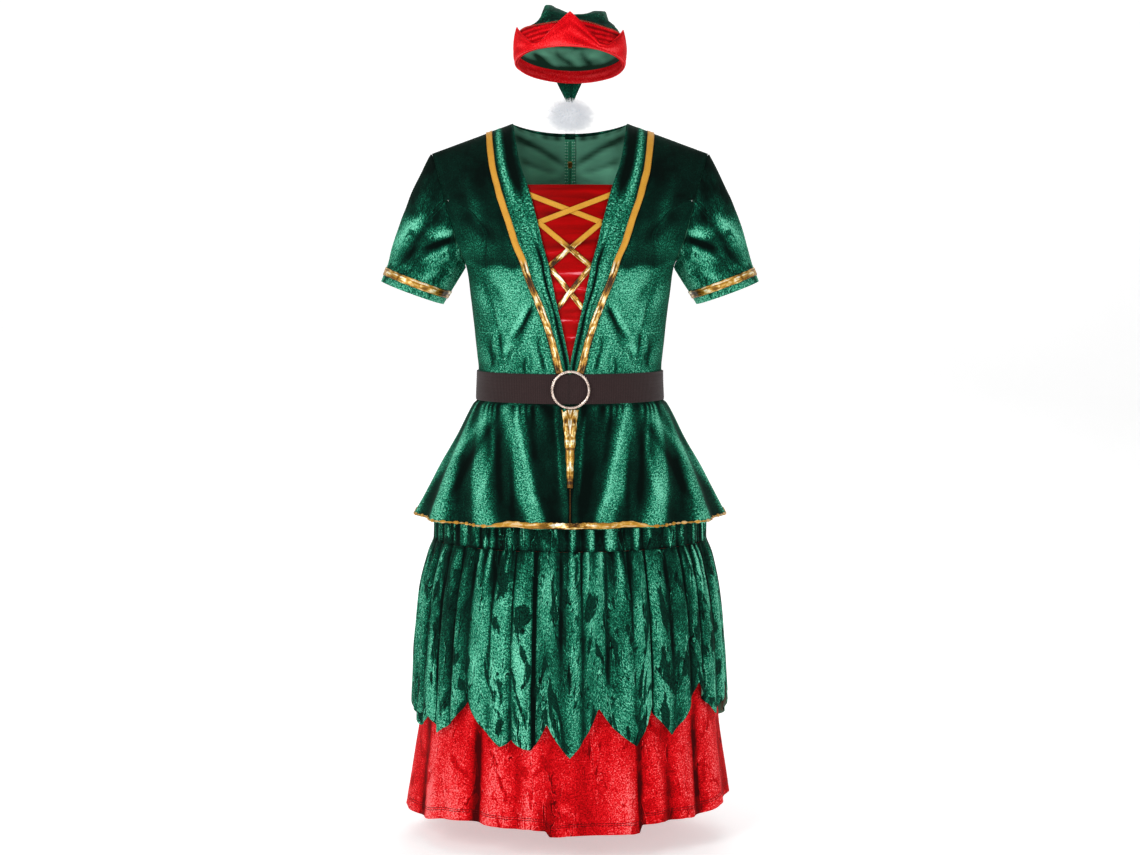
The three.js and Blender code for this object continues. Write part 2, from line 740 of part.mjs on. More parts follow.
// Underskirt: smooth where it is covered, with a few deep folds at its hem.
const underShape = [
  { z: skirtSeam, halfWidth: 195, depth: 142.4 },
  { z: -640, halfWidth: 202, depth: 146 },
  { z: -700, halfWidth: 207.5, depth: 149 },
  { z: -800, halfWidth: 213, depth: 153 },
  { z: -860, halfWidth: 217, depth: 157 },
  { z: -900, halfWidth: 223, depth: 162 },
  { z: -950, halfWidth: 231, depth: 168 },
  { z: -1000, halfWidth: 239, depth: 175 },
];
const underFolds = [
  { wide: 41, deep: 13, drop: 3, sharp: 2 },
  { wide: 24, deep: 16, drop: 0, sharp: 1.6 },
  { wide: 11, deep: 8, drop: 2 },
  { wide: 13, deep: 9, drop: 4 },
  { wide: 21, deep: 4, drop: 0 },
  { wide: 13, deep: 13, drop: 3 },
  { wide: 11, deep: 9, drop: 1 },
  { wide: 22, deep: 15, drop: 4, sharp: 1.6 },
  { wide: 24, deep: 8, drop: 0, sharp: 1.4 },
  { wide: 19, deep: 10, drop: 3 },
  { wide: 26, deep: 14, drop: 1, sharp: 1.6 },
  { wide: 15, deep: 8, drop: 4 },
  { wide: 21, deep: 13, drop: 2, sharp: 1.4 },
  { wide: 24, deep: 6, drop: 0 },
  { wide: 17, deep: 13, drop: 3 },
  { wide: 23, deep: 15, drop: 2, sharp: 1.6 },
  { wide: 14, deep: 8, drop: 4 },
  { wide: 21, deep: 12, drop: 1, sharp: 1.4 },
];
const underRound = foldRound(underFolds, -90);
const underHem = -994;
const hemLift = { high: 23, turn: 86, wide: 30 };
function underskirtAt(u, rise) {
  const { angle, share, fold } = underRound(u);
  const lift = hemLift.high * Math.exp(-(((angle / degree - hemLift.turn) / hemLift.wide) ** 2));
  const hem = underHem + lift - fold.drop * Math.sin(Math.PI * (u % 1));
  const z = mix(hem, skirtSeam, rise);
  const fall = Math.max(0, Math.min(1, (-820 - z) / 170));
  return ovalAt(underShape, angle, z, share * fold.deep * fall ** 0.9);
}
const underRows = [0, 0.13, 0.27, 0.42, 0.7, 1];
for (const [name, from, to] of [
  ["front", 0, 9],
  ["back", 9, 18],
]) {
  add(
    `underskirt_${name}`,
    wall(underskirtAt, trimEnds(quarters(from, to), underFolds), underRows, 0, cloth),
    looks.redVelvet
  );
}

// Back zip: the tape behind both backs, its slider outside, and the pull that hangs from it.
const tapeHalfWidth = 12;
function tapeAt(x, row) {
  const near = backAt(0, row);
  const far = backAt(1 / 3, row);
  const p = near.clone().lerp(far, (Math.abs(x) - zipHalfGap) / (far.x - near.x));
  return new THREE.Vector3(x, Math.abs(x) < zipHalfGap ? near.y : p.y, p.z);
}
const tapeColumns = [-tapeHalfWidth, -zipHalfGap, zipHalfGap, tapeHalfWidth];
const tapeRows = [...bodiceRows.slice(1, -1), 7.97];
add(
  "zip_tape",
  wall(tapeAt, tapeColumns, tapeRows, -(seam + 1.4), -(seam + 0.4), { turned: true }),
  looks.zipTape
);

const sliderZ = -54;
const sliderPoint = onFigure(0, bendAt(0, sliderZ), 1);
const sliderBelow = onFigure(0, bendAt(0, sliderZ - 12), 1);
const sliderLean = Math.atan2(sliderBelow.y - sliderPoint.y, sliderPoint.z - sliderBelow.z);
const slider = { wide: 8, tall: 11, thick: 2.2, lift: cloth + 0.4 };
const bridge = { wide: 2, long: 7, high: 3.4, bar: 1.1 };
const pin = { radius: 0.6, height: 1.4 };
const pull = { wide: 6.4, long: 24, thick: 1.2, arm: 1.1 };
const box = (x, y, z, dx, dy, dz) =>
  Manifold.cube([dx, dy, dz], true).translate([x, y, z]);

// The slider stands on the cloth: its own Y points out of it, its own Z up along the zip.
const sliderTurn = [sliderLean / degree, 0, 0];
const sliderSeat = [0, sliderPoint.y, sliderPoint.z];
const plateY = slider.lift + slider.thick / 2;
const plateTop = slider.lift + slider.thick;
const sliderSolid = Manifold.union([
  box(0, plateY, 0, slider.wide, slider.thick, slider.tall),
  box(0, plateTop + bridge.high / 2 - 0.1, bridge.long / 2, bridge.wide, bridge.high + 0.2, bridge.bar),
  box(0, plateTop + bridge.high / 2 - 0.1, -bridge.long / 2, bridge.wide, bridge.high + 0.2, bridge.bar),
  box(0, plateTop + bridge.high - bridge.bar / 2, 0, bridge.wide, bridge.bar, bridge.long + bridge.bar),
]);
add(
  "zip_slider",
  fromManifold(sliderSolid.rotate(sliderTurn).translate(sliderSeat)),
  looks.brass
);

const pinZ = -bridge.long / 2 + bridge.bar / 2 + pin.radius + 0.35;
const armX = bridge.wide / 2 + 0.4 + pull.arm / 2;
const armLong = 6;
const tabTop = pinZ - armLong + 1;
const pinY = plateTop + pin.height;
const pinBar = Manifold.cylinder(2 * armX, pin.radius, pin.radius, 12, true)
  .rotate([0, 90, 0])
  .translate([0, pinY, pinZ]);
const pullSolid = Manifold.union([
  pinBar,
  box(armX, pinY, pinZ - armLong / 2 + 0.6, pull.arm, pull.thick, armLong),
  box(-armX, pinY, pinZ - armLong / 2 + 0.6, pull.arm, pull.thick, armLong),
  box(0, pinY, tabTop - pull.long / 2, pull.wide, pull.thick, pull.long),
]);
add(
  "zip_pull",
  fromManifold(pullSolid.rotate(sliderTurn).translate(sliderSeat)),
  looks.brass
);

// Hat, tilted back so that its opening shows. Its rim is an oval that rises at the front.
const hatRim = { halfWidth: 75, halfDepth: 86, middle: 85, front: 18.5, roll: 2, bulge: 0.03 };
function hatSide(angle, up, lift) {
  const grow = 1 + hatRim.bulge * Math.sin((Math.PI * up) / 40);
  const z = hatRim.middle + hatRim.front * Math.cos(angle) - hatRim.roll * Math.sin(angle) + up;
  return new THREE.Vector3(
    (hatRim.halfWidth * grow + lift) * Math.sin(angle),
    -(hatRim.halfDepth * grow + lift) * Math.cos(angle),
    z
  );
}
const bandHeight = 36;
const bandAngles = steps(-Math.PI, Math.PI, 40).slice(0, -1);
add(
  "hat_band",
  wall(
    (angle, t) => hatSide(angle, t * (bandHeight + 1.5 * Math.sin(angle * 5 + 1)), 0),
    bandAngles,
    [0, 0.5, 1],
    0,
    cloth,
    { round: true }
  ),
  looks.redVelvet
);

const cuffPoints = 5;
const cuffLow = 10;
const cuffHigh = 48;
const cuffSideDrop = 5;
function cuffHeight(angle) {
  const turn = Math.abs(((((angle / (2 * Math.PI)) * cuffPoints + 0.5) % 1) + 1) % 1 - 0.5) * 2;
  const high = cuffHigh - cuffSideDrop * Math.sin(angle) ** 2;
  return mix(high, cuffLow, Math.min(1, turn / 0.85));
}
add(
  "hat_cuff",
  wall(
    (angle, t) => hatSide(angle, mix(0.6, cuffHeight(angle), t), cloth + 2 * layer),
    bandAngles,
    steps(0, 1, 3),
    0,
    cloth,
    { round: true }
  ),
  looks.redVelvet
);

// Crown: rings that rise inside the band, fold over and hang down behind to the tip.
// Each ring spans from its far side to its near side in the middle plane.
const crownGap = 0.6;
const crownBase = [18, 34].map((up, ring) => {
  const far = hatSide(0, up, -crownGap);
  const near = hatSide(Math.PI, up, -crownGap);
  const halfWidth = hatSide(Math.PI / 2, up, -crownGap).x;
  const ends = { farY: far.y, farZ: far.z, nearY: near.y, nearZ: near.z };
  return { ring, ...ends, halfWidth, peak: 0, shift: 0 };
});
const crownRings = [
  ...crownBase,
  { ring: 2, farY: -80, farZ: 143, nearY: 84, nearZ: 113, halfWidth: 69.5, peak: 0, shift: 2 },
  { ring: 3, farY: -60, farZ: 149, nearY: 94, nearZ: 122, halfWidth: 61, peak: 16, shift: 6 },
  { ring: 4, farY: -8, farZ: 150, nearY: 103, nearZ: 124, halfWidth: 52, peak: 38, shift: 9 },
  { ring: 5, farY: 64, farZ: 147, nearY: 107, nearZ: 118, halfWidth: 44, peak: 12, shift: 5 },
  { ring: 6, farY: 118, farZ: 118, nearY: 109.5, nearZ: 104, halfWidth: 35, peak: 0, shift: 0 },
  { ring: 7, farY: 127, farZ: 82, nearY: 110, nearZ: 80, halfWidth: 24, peak: 0, shift: -1 },
  { ring: 8, farY: 121, farZ: 40.3, nearY: 115, nearZ: 40.3, halfWidth: 5, peak: 0, shift: 0 },
];
const peakAt = 43;
const peakWide = 13;
const peakLean = 0.14;
function crownAt(angle, ring) {
  const get = (column) => read(crownRings, "ring", column, ring);
  const far = new THREE.Vector3(0, get("farY"), get("farZ"));
  const near = new THREE.Vector3(0, get("nearY"), get("nearZ"));
  const middle = far.clone().add(near).multiplyScalar(0.5);
  const p = middle.addScaledVector(far.sub(near), Math.cos(angle) / 2);
  p.x += get("halfWidth") * Math.sin(angle);
  const peak = Math.exp(-(((Math.abs(p.x) - peakAt) / peakWide) ** 2));
  const lean = 1 - peakLean * Math.sign(p.x);
  p.z += get("peak") * peak * lean * Math.sqrt(Math.max(0, Math.cos(angle)));
  p.z -= Math.max(0, Math.min(1, 2 - ring)) * hatRim.roll * Math.sin(angle);
  p.x += get("shift");
  return p;
}
const crownSteps = [0, 1, 1.6, 2.2, 3, 3.7, 4.4, 5.2, 6, 7, 8];
add(
  "hat_crown",
  wall(crownAt, steps(-Math.PI, Math.PI, 30).slice(0, -1), crownSteps, -cloth, 0, {
    round: true,
  }),
  looks.greenVelvet
);

// Pompom: pointed locks of fur fused into a ball that hangs just under the crown's tip.
const pompom = { x: 0.7, y: 118, z: 21, across: 37, deep: 34, half: 26, core: 0.73 };
const lockCount = 96;
const coreScale = [
  pompom.across * pompom.core,
  pompom.deep * pompom.core,
  pompom.half * pompom.core,
];
const locks = [Manifold.sphere(1, 12).scale(coreScale)];
for (let i = 0; i < lockCount; i += 1) {
  const up = 1 - (2 * (i + 0.5)) / lockCount;
  if (up > 0.8) {
    continue;
  }
  const spin = i * 2.399963;
  const flat = Math.sqrt(1 - up * up);
  const way = new THREE.Vector3(
    flat * Math.cos(spin) * pompom.across,
    flat * Math.sin(spin) * pompom.deep,
    up * pompom.half
  );
  const reach = way.length() * (0.95 + 0.05 * Math.sin(i * 7.3));
  const tilt = Math.acos(way.z / way.length()) / degree;
  const heading = Math.atan2(way.y, way.x) / degree;
  const root = reach * 0.5;
  locks.push(
    Manifold.cylinder(reach - root, 4.6, 0.5, 3)
      .rotate([0, 0, (i * 47) % 120])
      .translate([0, 0, root])
      .rotate([0, tilt, heading])
  );
}
add(
  "hat_pompom",
  fromManifold(Manifold.union(locks).translate([pompom.x, pompom.y, pompom.z])),
  looks.whiteFur
);

export default group;
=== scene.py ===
import bpy
import math
import numpy as np
from mathutils import Matrix, Vector


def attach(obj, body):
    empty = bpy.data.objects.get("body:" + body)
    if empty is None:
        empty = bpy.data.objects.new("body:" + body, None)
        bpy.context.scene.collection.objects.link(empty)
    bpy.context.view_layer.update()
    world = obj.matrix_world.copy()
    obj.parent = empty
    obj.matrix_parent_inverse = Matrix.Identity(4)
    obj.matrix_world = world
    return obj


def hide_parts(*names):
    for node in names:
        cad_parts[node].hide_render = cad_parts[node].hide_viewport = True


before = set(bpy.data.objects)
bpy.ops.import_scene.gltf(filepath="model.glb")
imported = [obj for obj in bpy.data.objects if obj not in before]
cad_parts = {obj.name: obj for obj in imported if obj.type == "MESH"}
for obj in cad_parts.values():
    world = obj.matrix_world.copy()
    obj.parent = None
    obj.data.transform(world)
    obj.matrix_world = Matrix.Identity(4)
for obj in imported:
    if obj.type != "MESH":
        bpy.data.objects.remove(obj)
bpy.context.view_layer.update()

print("frame loaded")

# Camera, floor and light. The floor lies just under the hem.
view = {
    "distance": 2.9,
    "height": -0.173,
    "aimHeight": -0.3702,
    "shift": -0.0404,
    "lens": 63.2,
    "floorHeight": -1.03,
    "worldStrength": 0.34,
}
scene = bpy.context.scene
scene.view_settings.view_transform = "Standard"


def makeCamera():
    data = bpy.data.cameras.new("camera")
    data.lens = view["lens"]
    data.sensor_width = 36
    data.shift_y = view["shift"]
    data.clip_end = 60
    camera = bpy.data.objects.new("camera", data)
    scene.collection.objects.link(camera)
    camera.location = (0, -view["distance"], view["height"])
    aim = Vector((0, 0, view["aimHeight"])) - camera.location
    camera.rotation_euler = aim.to_track_quat("-Z", "Y").to_euler()
    scene.camera = camera


def makeLight(name, spot, aim, size, power, colour=(1, 1, 1)):
    data = bpy.data.lights.new(name, "AREA")
    data.shape = "RECTANGLE"
    data.size, data.size_y = size
    data.energy = power
    data.color = colour
    lamp = bpy.data.objects.new(name, data)
    scene.collection.objects.link(lamp)
    lamp.location = spot
    way = Vector(aim) - Vector(spot)
    lamp.rotation_euler = way.to_track_quat("-Z", "Y").to_euler()


makeCamera()
makeLight("key", (-1.7, -2.2, 0.9), (0, 0, -0.45), (1.0, 1.5), 33)
makeLight("fill", (2.1, -2.2, 0.1), (0, 0, -0.5), (1.2, 1.8), 12)
makeLight("low", (0.1, -2.3, -0.85), (0, 0, -0.45), (2.0, 0.4), 6)
makeLight("top", (0, -0.2, 1.9), (0, 0, -0.4), (1.6, 1.2), 9)
makeLight("behind", (0.3, 2.4, 0.9), (0, 0, -0.4), (1.8, 1.4), 24)
world = bpy.data.worlds.new("studio")
scene.world = world
world.use_nodes = True
background = world.node_tree.nodes["Background"]
background.inputs["Color"].default_value = (1, 1, 1, 1)
background.inputs["Strength"].default_value = view["worldStrength"]
print("camera and lights made")


# Node maths: a wire is an output socket, and + - * / on wires add Math nodes.
class Wire:
    def __init__(self, nodes, socket):
        self.nodes = nodes
        self.socket = socket

    def apply(self, operation, a, b):
        return self.nodes.node("ShaderNodeMath", [a, b], operation=operation)[0]

    def __add__(self, other):
        return self.apply("ADD", self, other)

    def __radd__(self, other):
        return self.apply("ADD", other, self)

    def __sub__(self, other):
        return self.apply("SUBTRACT", self, other)

    def __rsub__(self, other):
        return self.apply("SUBTRACT", other, self)

    def __mul__(self, other):
        return self.apply("MULTIPLY", self, other)

    def __rmul__(self, other):
        return self.apply("MULTIPLY", other, self)

    def __truediv__(self, other):
        return self.apply("DIVIDE", self, other)

    def clamp(self, low=0.0, high=1.0):
        return self.apply("MINIMUM", self.apply("MAXIMUM", self, low), high)

    def above(self, edge, soft):
        return ((self - edge) / soft + 0.5).clamp()


class Nodes:
    def __init__(self, tree):
        self.tree = tree

    # Adds any node: its settings and ramp stops first, then its sockets' values or links.
    def node(self, kind, inputs=(), stops=(), **settings):
        made = self.tree.nodes.new(kind)
        for key, value in settings.items():
            setattr(made, key, value)
        if stops:
            elements = made.color_ramp.elements
            while len(elements) < len(stops):
                elements.new(0.5)
            for element, (at, colour) in zip(elements, stops):
                element.position = at
                element.color = (*colour, 1)
        pairs = inputs.items() if isinstance(inputs, dict) else enumerate(inputs)
        for key, value in pairs:
            if isinstance(value, Wire):
                self.tree.links.new(value.socket, made.inputs[key])
            else:
                made.inputs[key].default_value = value
        return [Wire(self, socket) for socket in made.outputs if socket.enabled]


class Shader(Nodes):
    def __init__(self, name):
        self.material = bpy.data.materials.new(name)
        self.material.use_nodes = True
        super().__init__(self.material.node_tree)
        self.surface = self.tree.nodes["Principled BSDF"]

    def number(self, name):
        return self.node("ShaderNodeAttribute", attribute_name=name)[2]

    def clothPlace(self, scale, layer="cloth"):
        place = self.node("ShaderNodeUVMap", uv_map=layer)[0]
        return self.node("ShaderNodeMapping", {"Vector": place, "Scale": scale})[0]

    def objectPlace(self, scale):
        place = self.node("ShaderNodeTexCoord")[3]
        return self.node("ShaderNodeMapping", {"Vector": place, "Scale": scale})[0]

    def noise(self, place, scale=1.0, detail=2.0, rough=0.5, bend=0.0):
        wires = self.node(
            "ShaderNodeTexNoise",
            {"Vector": place, "Scale": scale, "Detail": detail, "Roughness": rough, "Distortion": bend},
        )
        return wires[0]

    def ramp(self, factor, stops):
        return self.node("ShaderNodeValToRGB", {"Fac": factor}, stops)[0]

    def blend(self, factor, a, b):
        inputs = {0: factor, 6: a, 7: b}
        return self.node("ShaderNodeMix", inputs, data_type="RGBA")[0]

    # A thin line where a noise passes a value.
    def line(self, noise, at, wide):
        off = (noise - at) / wide
        return (1.0 - off * off).clamp()

    def bump(self, height, strength, distance, below=None):
        inputs = {"Height": height, "Strength": strength, "Distance": distance}
        if below is not None:
            inputs["Normal"] = below
        return self.node("ShaderNodeBump", inputs)[0]

    def set(self, **values):
        for key, value in values.items():
            socket = self.surface.inputs[key.replace("_", " ")]
            if isinstance(value, Wire):
                self.tree.links.new(value.socket, socket)
            else:
                socket.default_value = value


def rgb(red, green, blue):
    out = []
    for value in (red, green, blue):
        c = value / 255
        out.append(c / 12.92 if c <= 0.04045 else ((c + 0.055) / 1.055) ** 2.4)
    return tuple(out)


# Crushed velvet. Its attribute carries painted light and shade, 0 dark and 1 bright. Random flat patches
# are dark and smooth, and elsewhere the cloth sparkles with a fine grain that is stronger where it is
# painted brighter.
def velvet(name, look):
    s = Shader(name)
    broad = s.noise(s.clothPlace((24, 14, 1)), 1.0, 2, 0.5, 0.4)
    crush = s.noise(s.clothPlace((92, 58, 1)), 1.0, 3, 0.6, 0.9)
    flat = s.noise(s.clothPlace(look["flatScale"]), 1.0, 3, 0.5, 0.7)
    fold = s.noise(s.clothPlace((58, 11, 1)), 1.0, 2, 0.5, 0.9)
    cross = s.noise(s.clothPlace((40, 70, 1)), 1.0, 2, 0.5, 1.1)
    grain = s.noise(s.clothPlace((620, 560, 1)), 1.0, 1, 0.7)
    speck = s.noise(s.clothPlace((360, 300, 1)), 1.0, 2, 0.7)
    painted_light = s.number("painted_light")
    # Painted light and shade from the attribute, with random crushed patches over it.
    toneAndLight = painted_light + (broad - 0.5) * look["broad"] + (crush - 0.5) * look["crush"]
    dark = flat.above(look["flatEdge"], 0.035) * look["flat"]
    some = broad.above(0.5, 0.1)
    thin = s.line(fold, 0.5, 0.014) * some
    beside = s.line(fold, 0.525, 0.012) * some
    kink = s.line(cross, 0.5, 0.02) * (1.0 - some) * dark.above(0.5, 0.9)
    toneAndLight = toneAndLight * (1.0 - dark) + dark * look["flatTone"]
    toneAndLight = toneAndLight - (thin + kink) * look["line"] + beside * look["line"] * 0.8
    lit = toneAndLight.clamp(0.05, 0.6)
    tone = toneAndLight + ((grain - 0.5) * look["grain"] + (speck - 0.5) * look["speck"]) * lit
    tone = tone.clamp()
    s.set(
        Base_Color=s.ramp(tone, look["stops"]),
        Roughness=0.92 - tone * 0.12,
        Normal=s.bump(crush, 0.2, 0.0016, s.bump(grain, 0.25, 0.0005)),
        Sheen_Weight=look["sheen"],
        Sheen_Roughness=0.4,
        Sheen_Tint=(*look["tint"], 1),
        Specular_IOR_Level=0.08,
    )
    return s.material


greenStops = (
    (0.0, rgb(0, 12, 8)),
    (0.2, rgb(1, 34, 25)),
    (0.38, rgb(4, 58, 43)),
    (0.55, rgb(14, 92, 68)),
    (0.72, rgb(36, 136, 104)),
    (0.86, rgb(64, 172, 136)),
    (1.0, rgb(124, 218, 184)),
)
smoothLook = {
    "stops": greenStops, "broad": 0.26, "crush": 0.26, "grain": 3.3, "speck": 2.0, "line": 0.0,
    "flat": 0.0, "flatEdge": 0.6, "flatTone": 0.2, "flatScale": (40, 20, 1),
    "sheen": 0.05, "tint": rgb(90, 200, 160),
}
crushedLook = {
    "stops": greenStops, "broad": 0.36, "crush": 0.5, "grain": 3.4, "speck": 2.4, "line": 0.42,
    "flat": 0.85, "flatEdge": 0.575, "flatTone": 0.2, "flatScale": (46, 19, 1),
    "sheen": 0.05, "tint": rgb(90, 200, 160),
}
redLook = {
    "stops": (
        (0.0, rgb(70, 0, 2)),
        (0.22, rgb(126, 0, 2)),
        (0.45, rgb(190, 0, 8)),
        (0.66, rgb(226, 12, 22)),
        (0.84, rgb(248, 44, 50)),
        (1.0, rgb(255, 120, 120)),
    ),
    "broad": 0.3, "crush": 0.5, "grain": 2.4, "speck": 1.7, "line": 0.3,
    "flat": 0.6, "flatEdge": 0.6, "flatTone": 0.3, "flatScale": (34, 18, 1),
    "sheen": 0.02, "tint": rgb(255, 90, 90),
}
sleeveLook = dict(crushedLook, flat=0.55, flatEdge=0.61, line=0.2, crush=0.4)
hatStops = (
    (0.0, rgb(84, 0, 4)), (0.25, rgb(150, 0, 6)), (0.5, rgb(206, 2, 14)), (0.75, rgb(240, 14, 26)),
    (1.0, rgb(255, 66, 70)),
)
hatLook = dict(redLook, stops=hatStops, flat=0.0, line=0.1, crush=0.24, grain=1.5, speck=1.0)
greenVelvet = velvet("green_velvet", smoothLook)
greenCrushed = velvet("green_crushed_velvet", crushedLook)
redVelvet = velvet("red_velvet", redLook)
sleeveVelvet = velvet("green_sleeve_velvet", sleeveLook)
hatVelvet = velvet("red_hat_velvet", hatLook)


# The smooth knitted back of a velvet. Its tone follows the painted light and shade of its attribute.
def backing(name, dark, light):
    s = Shader(name)
    broad = s.noise(s.clothPlace((26, 18, 1)), 1.0, 3, 0.5, 0.5)
    knit = s.noise(s.clothPlace((1500, 700, 1)), 1.0, 1, 0.5)
    tone = s.number("painted_light") + (broad - 0.5) * 0.4 + (knit - 0.5) * 0.3
    s.set(
        Base_Color=s.ramp(tone.clamp(), ((0.0, dark), (1.0, light))),
        Roughness=0.82 - broad * 0.12,
        Normal=s.bump(knit, 0.3, 0.0004),
        Specular_IOR_Level=0.2,
        Sheen_Weight=0.1,
    )
    return s.material


# The green backing's light end is painted bright so that the shaded inside of the back reads light.
greenBack = backing("green_backing", rgb(2, 48, 32), rgb(134, 222, 186))
redBack = backing("red_backing", rgb(170, 6, 14), rgb(240, 60, 64))


def satin(name):
    s = Shader(name)
    weave = s.noise(s.clothPlace((2400, 700, 1)), 1.0, 1, 0.5)
    broad = s.noise(s.clothPlace((16, 60, 1)), 1.0, 3, 0.5, 0.5)
    streak = s.noise(s.clothPlace((30, 210, 1)), 1.0, 3, 0.6, 0.6)
    painted_light = s.number("painted_light")
    # Painted light: the attribute paints the wrinkles' highlights and shade, and the palest stop is a
    # painted highlight.
    tone = painted_light - 0.05 + (broad - 0.5) * 0.5 + (streak - 0.5) * 0.85 * painted_light + (weave - 0.5) * 0.16
    stops = (
        (0.0, rgb(80, 0, 0)), (0.4, rgb(156, 0, 0)), (0.66, rgb(184, 0, 4)), (0.84, rgb(200, 18, 28)),
        (1.0, rgb(240, 130, 140)),
    )
    s.set(
        Base_Color=s.ramp(tone.clamp(), stops),
        Roughness=0.5 - broad * 0.1,
        Normal=s.bump(broad, 0.3, 0.0016, s.bump(weave, 0.2, 0.0003)),
        Specular_IOR_Level=0.06,
    )
    return s.material


redSatin = satin("red_satin")


# Gold ribbon: matte amber where its attribute is 0, creased foil where it is 1. That attribute paints where
# the ribbon shines, and the foil's pale tones are painted reflections. Its own map runs from -5 to 5 mm
# across any ribbon, so the woven edges stay at the edges.
def goldFoil(name):
    s = Shader(name)
    shine = s.number("painted_light").clamp()
    place = s.node("ShaderNodeUVMap", uv_map="cloth")[0]
    parts = s.node("ShaderNodeSeparateXYZ", {0: place})
    off = parts[0] * 200.0
    edge = (off * off).above(0.84, 0.16)
    weave = s.noise(s.clothPlace((1300, 1300, 1)), 1.0, 1, 0.5)
    long = s.noise(s.clothPlace((230, 34, 1)), 1.0, 2, 0.5, 0.9)
    broad = s.noise(s.clothPlace((60, 42, 1)), 1.0, 2, 0.5, 0.6)
    crease = s.line(s.noise(s.clothPlace((170, 110, 1)), 1.0, 2, 0.5, 0.5), 0.5, 0.03)
    # The foil's bright and dark tones are painted reflections.
    tone = (long - 0.5) * 3.0 + (broad - 0.5) * 3.8 + 0.58 - crease * 0.2 - edge * 0.3
    stops = (
        (0.0, rgb(58, 32, 4)), (0.25, rgb(124, 80, 16)), (0.5, rgb(178, 126, 36)),
        (0.68, rgb(222, 178, 86)), (0.84, rgb(250, 234, 180)), (1.0, rgb(255, 252, 232)),
    )
    foilReflections = s.ramp(tone.clamp(), stops)
    tone = 0.5 + (weave - 0.5) * 0.7 + (broad - 0.5) * 0.4 - edge * 0.3
    stops = (
        (0.0, rgb(136, 82, 10)), (0.3, rgb(196, 134, 26)), (0.55, rgb(218, 156, 40)),
        (1.0, rgb(240, 190, 86)),
    )
    amber = s.ramp(tone.clamp(), stops)
    s.set(
        Base_Color=s.blend(shine, amber, foilReflections),
        Roughness=0.6 - shine * 0.28,
        Metallic=shine * 0.35 + 0.05,
        Normal=s.bump(weave, 0.3, 0.0003, s.bump(long, 0.4, 0.001)),
        Specular_IOR_Level=0.4,
    )
    return s.material


gold = goldFoil("gold_ribbon")


def elastic(name):
    s = Shader(name)
    rows = s.node(
        "ShaderNodeTexWave",
        {"Vector": s.clothPlace((1, 1, 0)), "Scale": 120.0, "Distortion": 0.0},
        bands_direction="X",
    )[1]
    threads = s.noise(s.clothPlace((420, 700, 1)), 1.0, 2, 0.6)
    broad = s.noise(s.clothPlace((18, 30, 1)), 1.0, 2, 0.5)
    tone = 0.3 + rows * 0.16 + (threads - 0.5) * 0.5 + (broad - 0.5) * 0.2
    s.set(
        Base_Color=s.ramp(
            tone.clamp(), ((0.0, rgb(22, 11, 11)), (0.5, rgb(50, 32, 32)), (1.0, rgb(86, 60, 58)))
        ),
        Roughness=0.86 - rows * 0.1,
        Normal=s.bump(rows, 0.5, 0.0005, s.bump(threads, 0.4, 0.0004)),
        Specular_IOR_Level=0.25,
        Sheen_Weight=0.12,
    )
    return s.material


brownElastic = elastic("brown_elastic")


def metal(name, dark, light, rough):
    s = Shader(name)
    wear = s.noise(s.objectPlace((150, 150, 150)), 1.0, 4, 0.6)
    fine = s.noise(s.objectPlace((900, 900, 900)), 1.0, 2, 0.6)
    s.set(
        Base_Color=s.ramp(wear, ((0.3, dark), (0.6, light))),
        Roughness=rough + (wear - 0.5) * 0.2,
        Metallic=1.0,
        Normal=s.bump(fine, 0.25, 0.0002),
    )
    return s.material


paleMetal = metal("pale_metal", rgb(190, 164, 150), rgb(250, 232, 220), 0.24)
brass = metal("brass", rgb(120, 84, 36), rgb(206, 164, 92), 0.34)


def plainThread(name, dark, light, rough=0.8):
    s = Shader(name)
    twist = s.noise(s.objectPlace((900, 900, 900)), 1.0, 2, 0.6)
    s.set(
        Base_Color=s.ramp(twist, ((0.25, dark), (0.75, light))),
        Roughness=rough - twist * 0.1,
        Normal=s.bump(twist, 0.4, 0.0003),
        Specular_IOR_Level=0.12,
    )
    return s.material


zipCloth = plainThread("zip_tape", rgb(24, 110, 80), rgb(92, 190, 150))
edgeThread = plainThread("edge_thread", rgb(120, 214, 180), rgb(226, 255, 244), 0.7)
hemThread = plainThread("hem_thread", rgb(64, 0, 2), rgb(122, 4, 8))
redThread = plainThread("red_thread", rgb(84, 0, 2), rgb(146, 6, 12))
goldThread = plainThread("gold_thread", rgb(128, 82, 18), rgb(236, 196, 110), 0.5)
darkThread = plainThread("dark_thread", rgb(30, 14, 6), rgb(112, 70, 24), 0.6)
paleThread = plainThread("pale_thread", rgb(110, 60, 44), rgb(190, 150, 120), 0.7)
zipPlastic = plainThread("zip_teeth", rgb(18, 70, 50), rgb(60, 140, 106), 0.5)


def furWhite(name):
    s = Shader(name)
    # Painted shade: the fur is painted darker towards the roots of its hairs.
    along = s.number("painted_light")
    spot = s.noise(s.objectPlace((260, 260, 260)), 1.0, 2, 0.5)
    tone = along * 0.7 + (spot - 0.5) * 0.5 + 0.2
    s.set(
        Base_Color=s.ramp(
            tone.clamp(), ((0.0, rgb(178, 182, 190)), (0.45, rgb(234, 236, 240)), (1.0, rgb(255, 255, 255)))
        ),
        Roughness=0.8 - spot * 0.1,
        # Painted light: the fur glows faintly so that it reads white.
        Emission_Color=s.ramp(tone.clamp(), ((0.0, (0.5, 0.52, 0.55)), (1.0, (1, 1, 1)))),
        Emission_Strength=0.3,
        Sheen_Weight=0.2,
        Specular_IOR_Level=0.2,
    )
    return s.material


whiteFur = furWhite("white_fur")


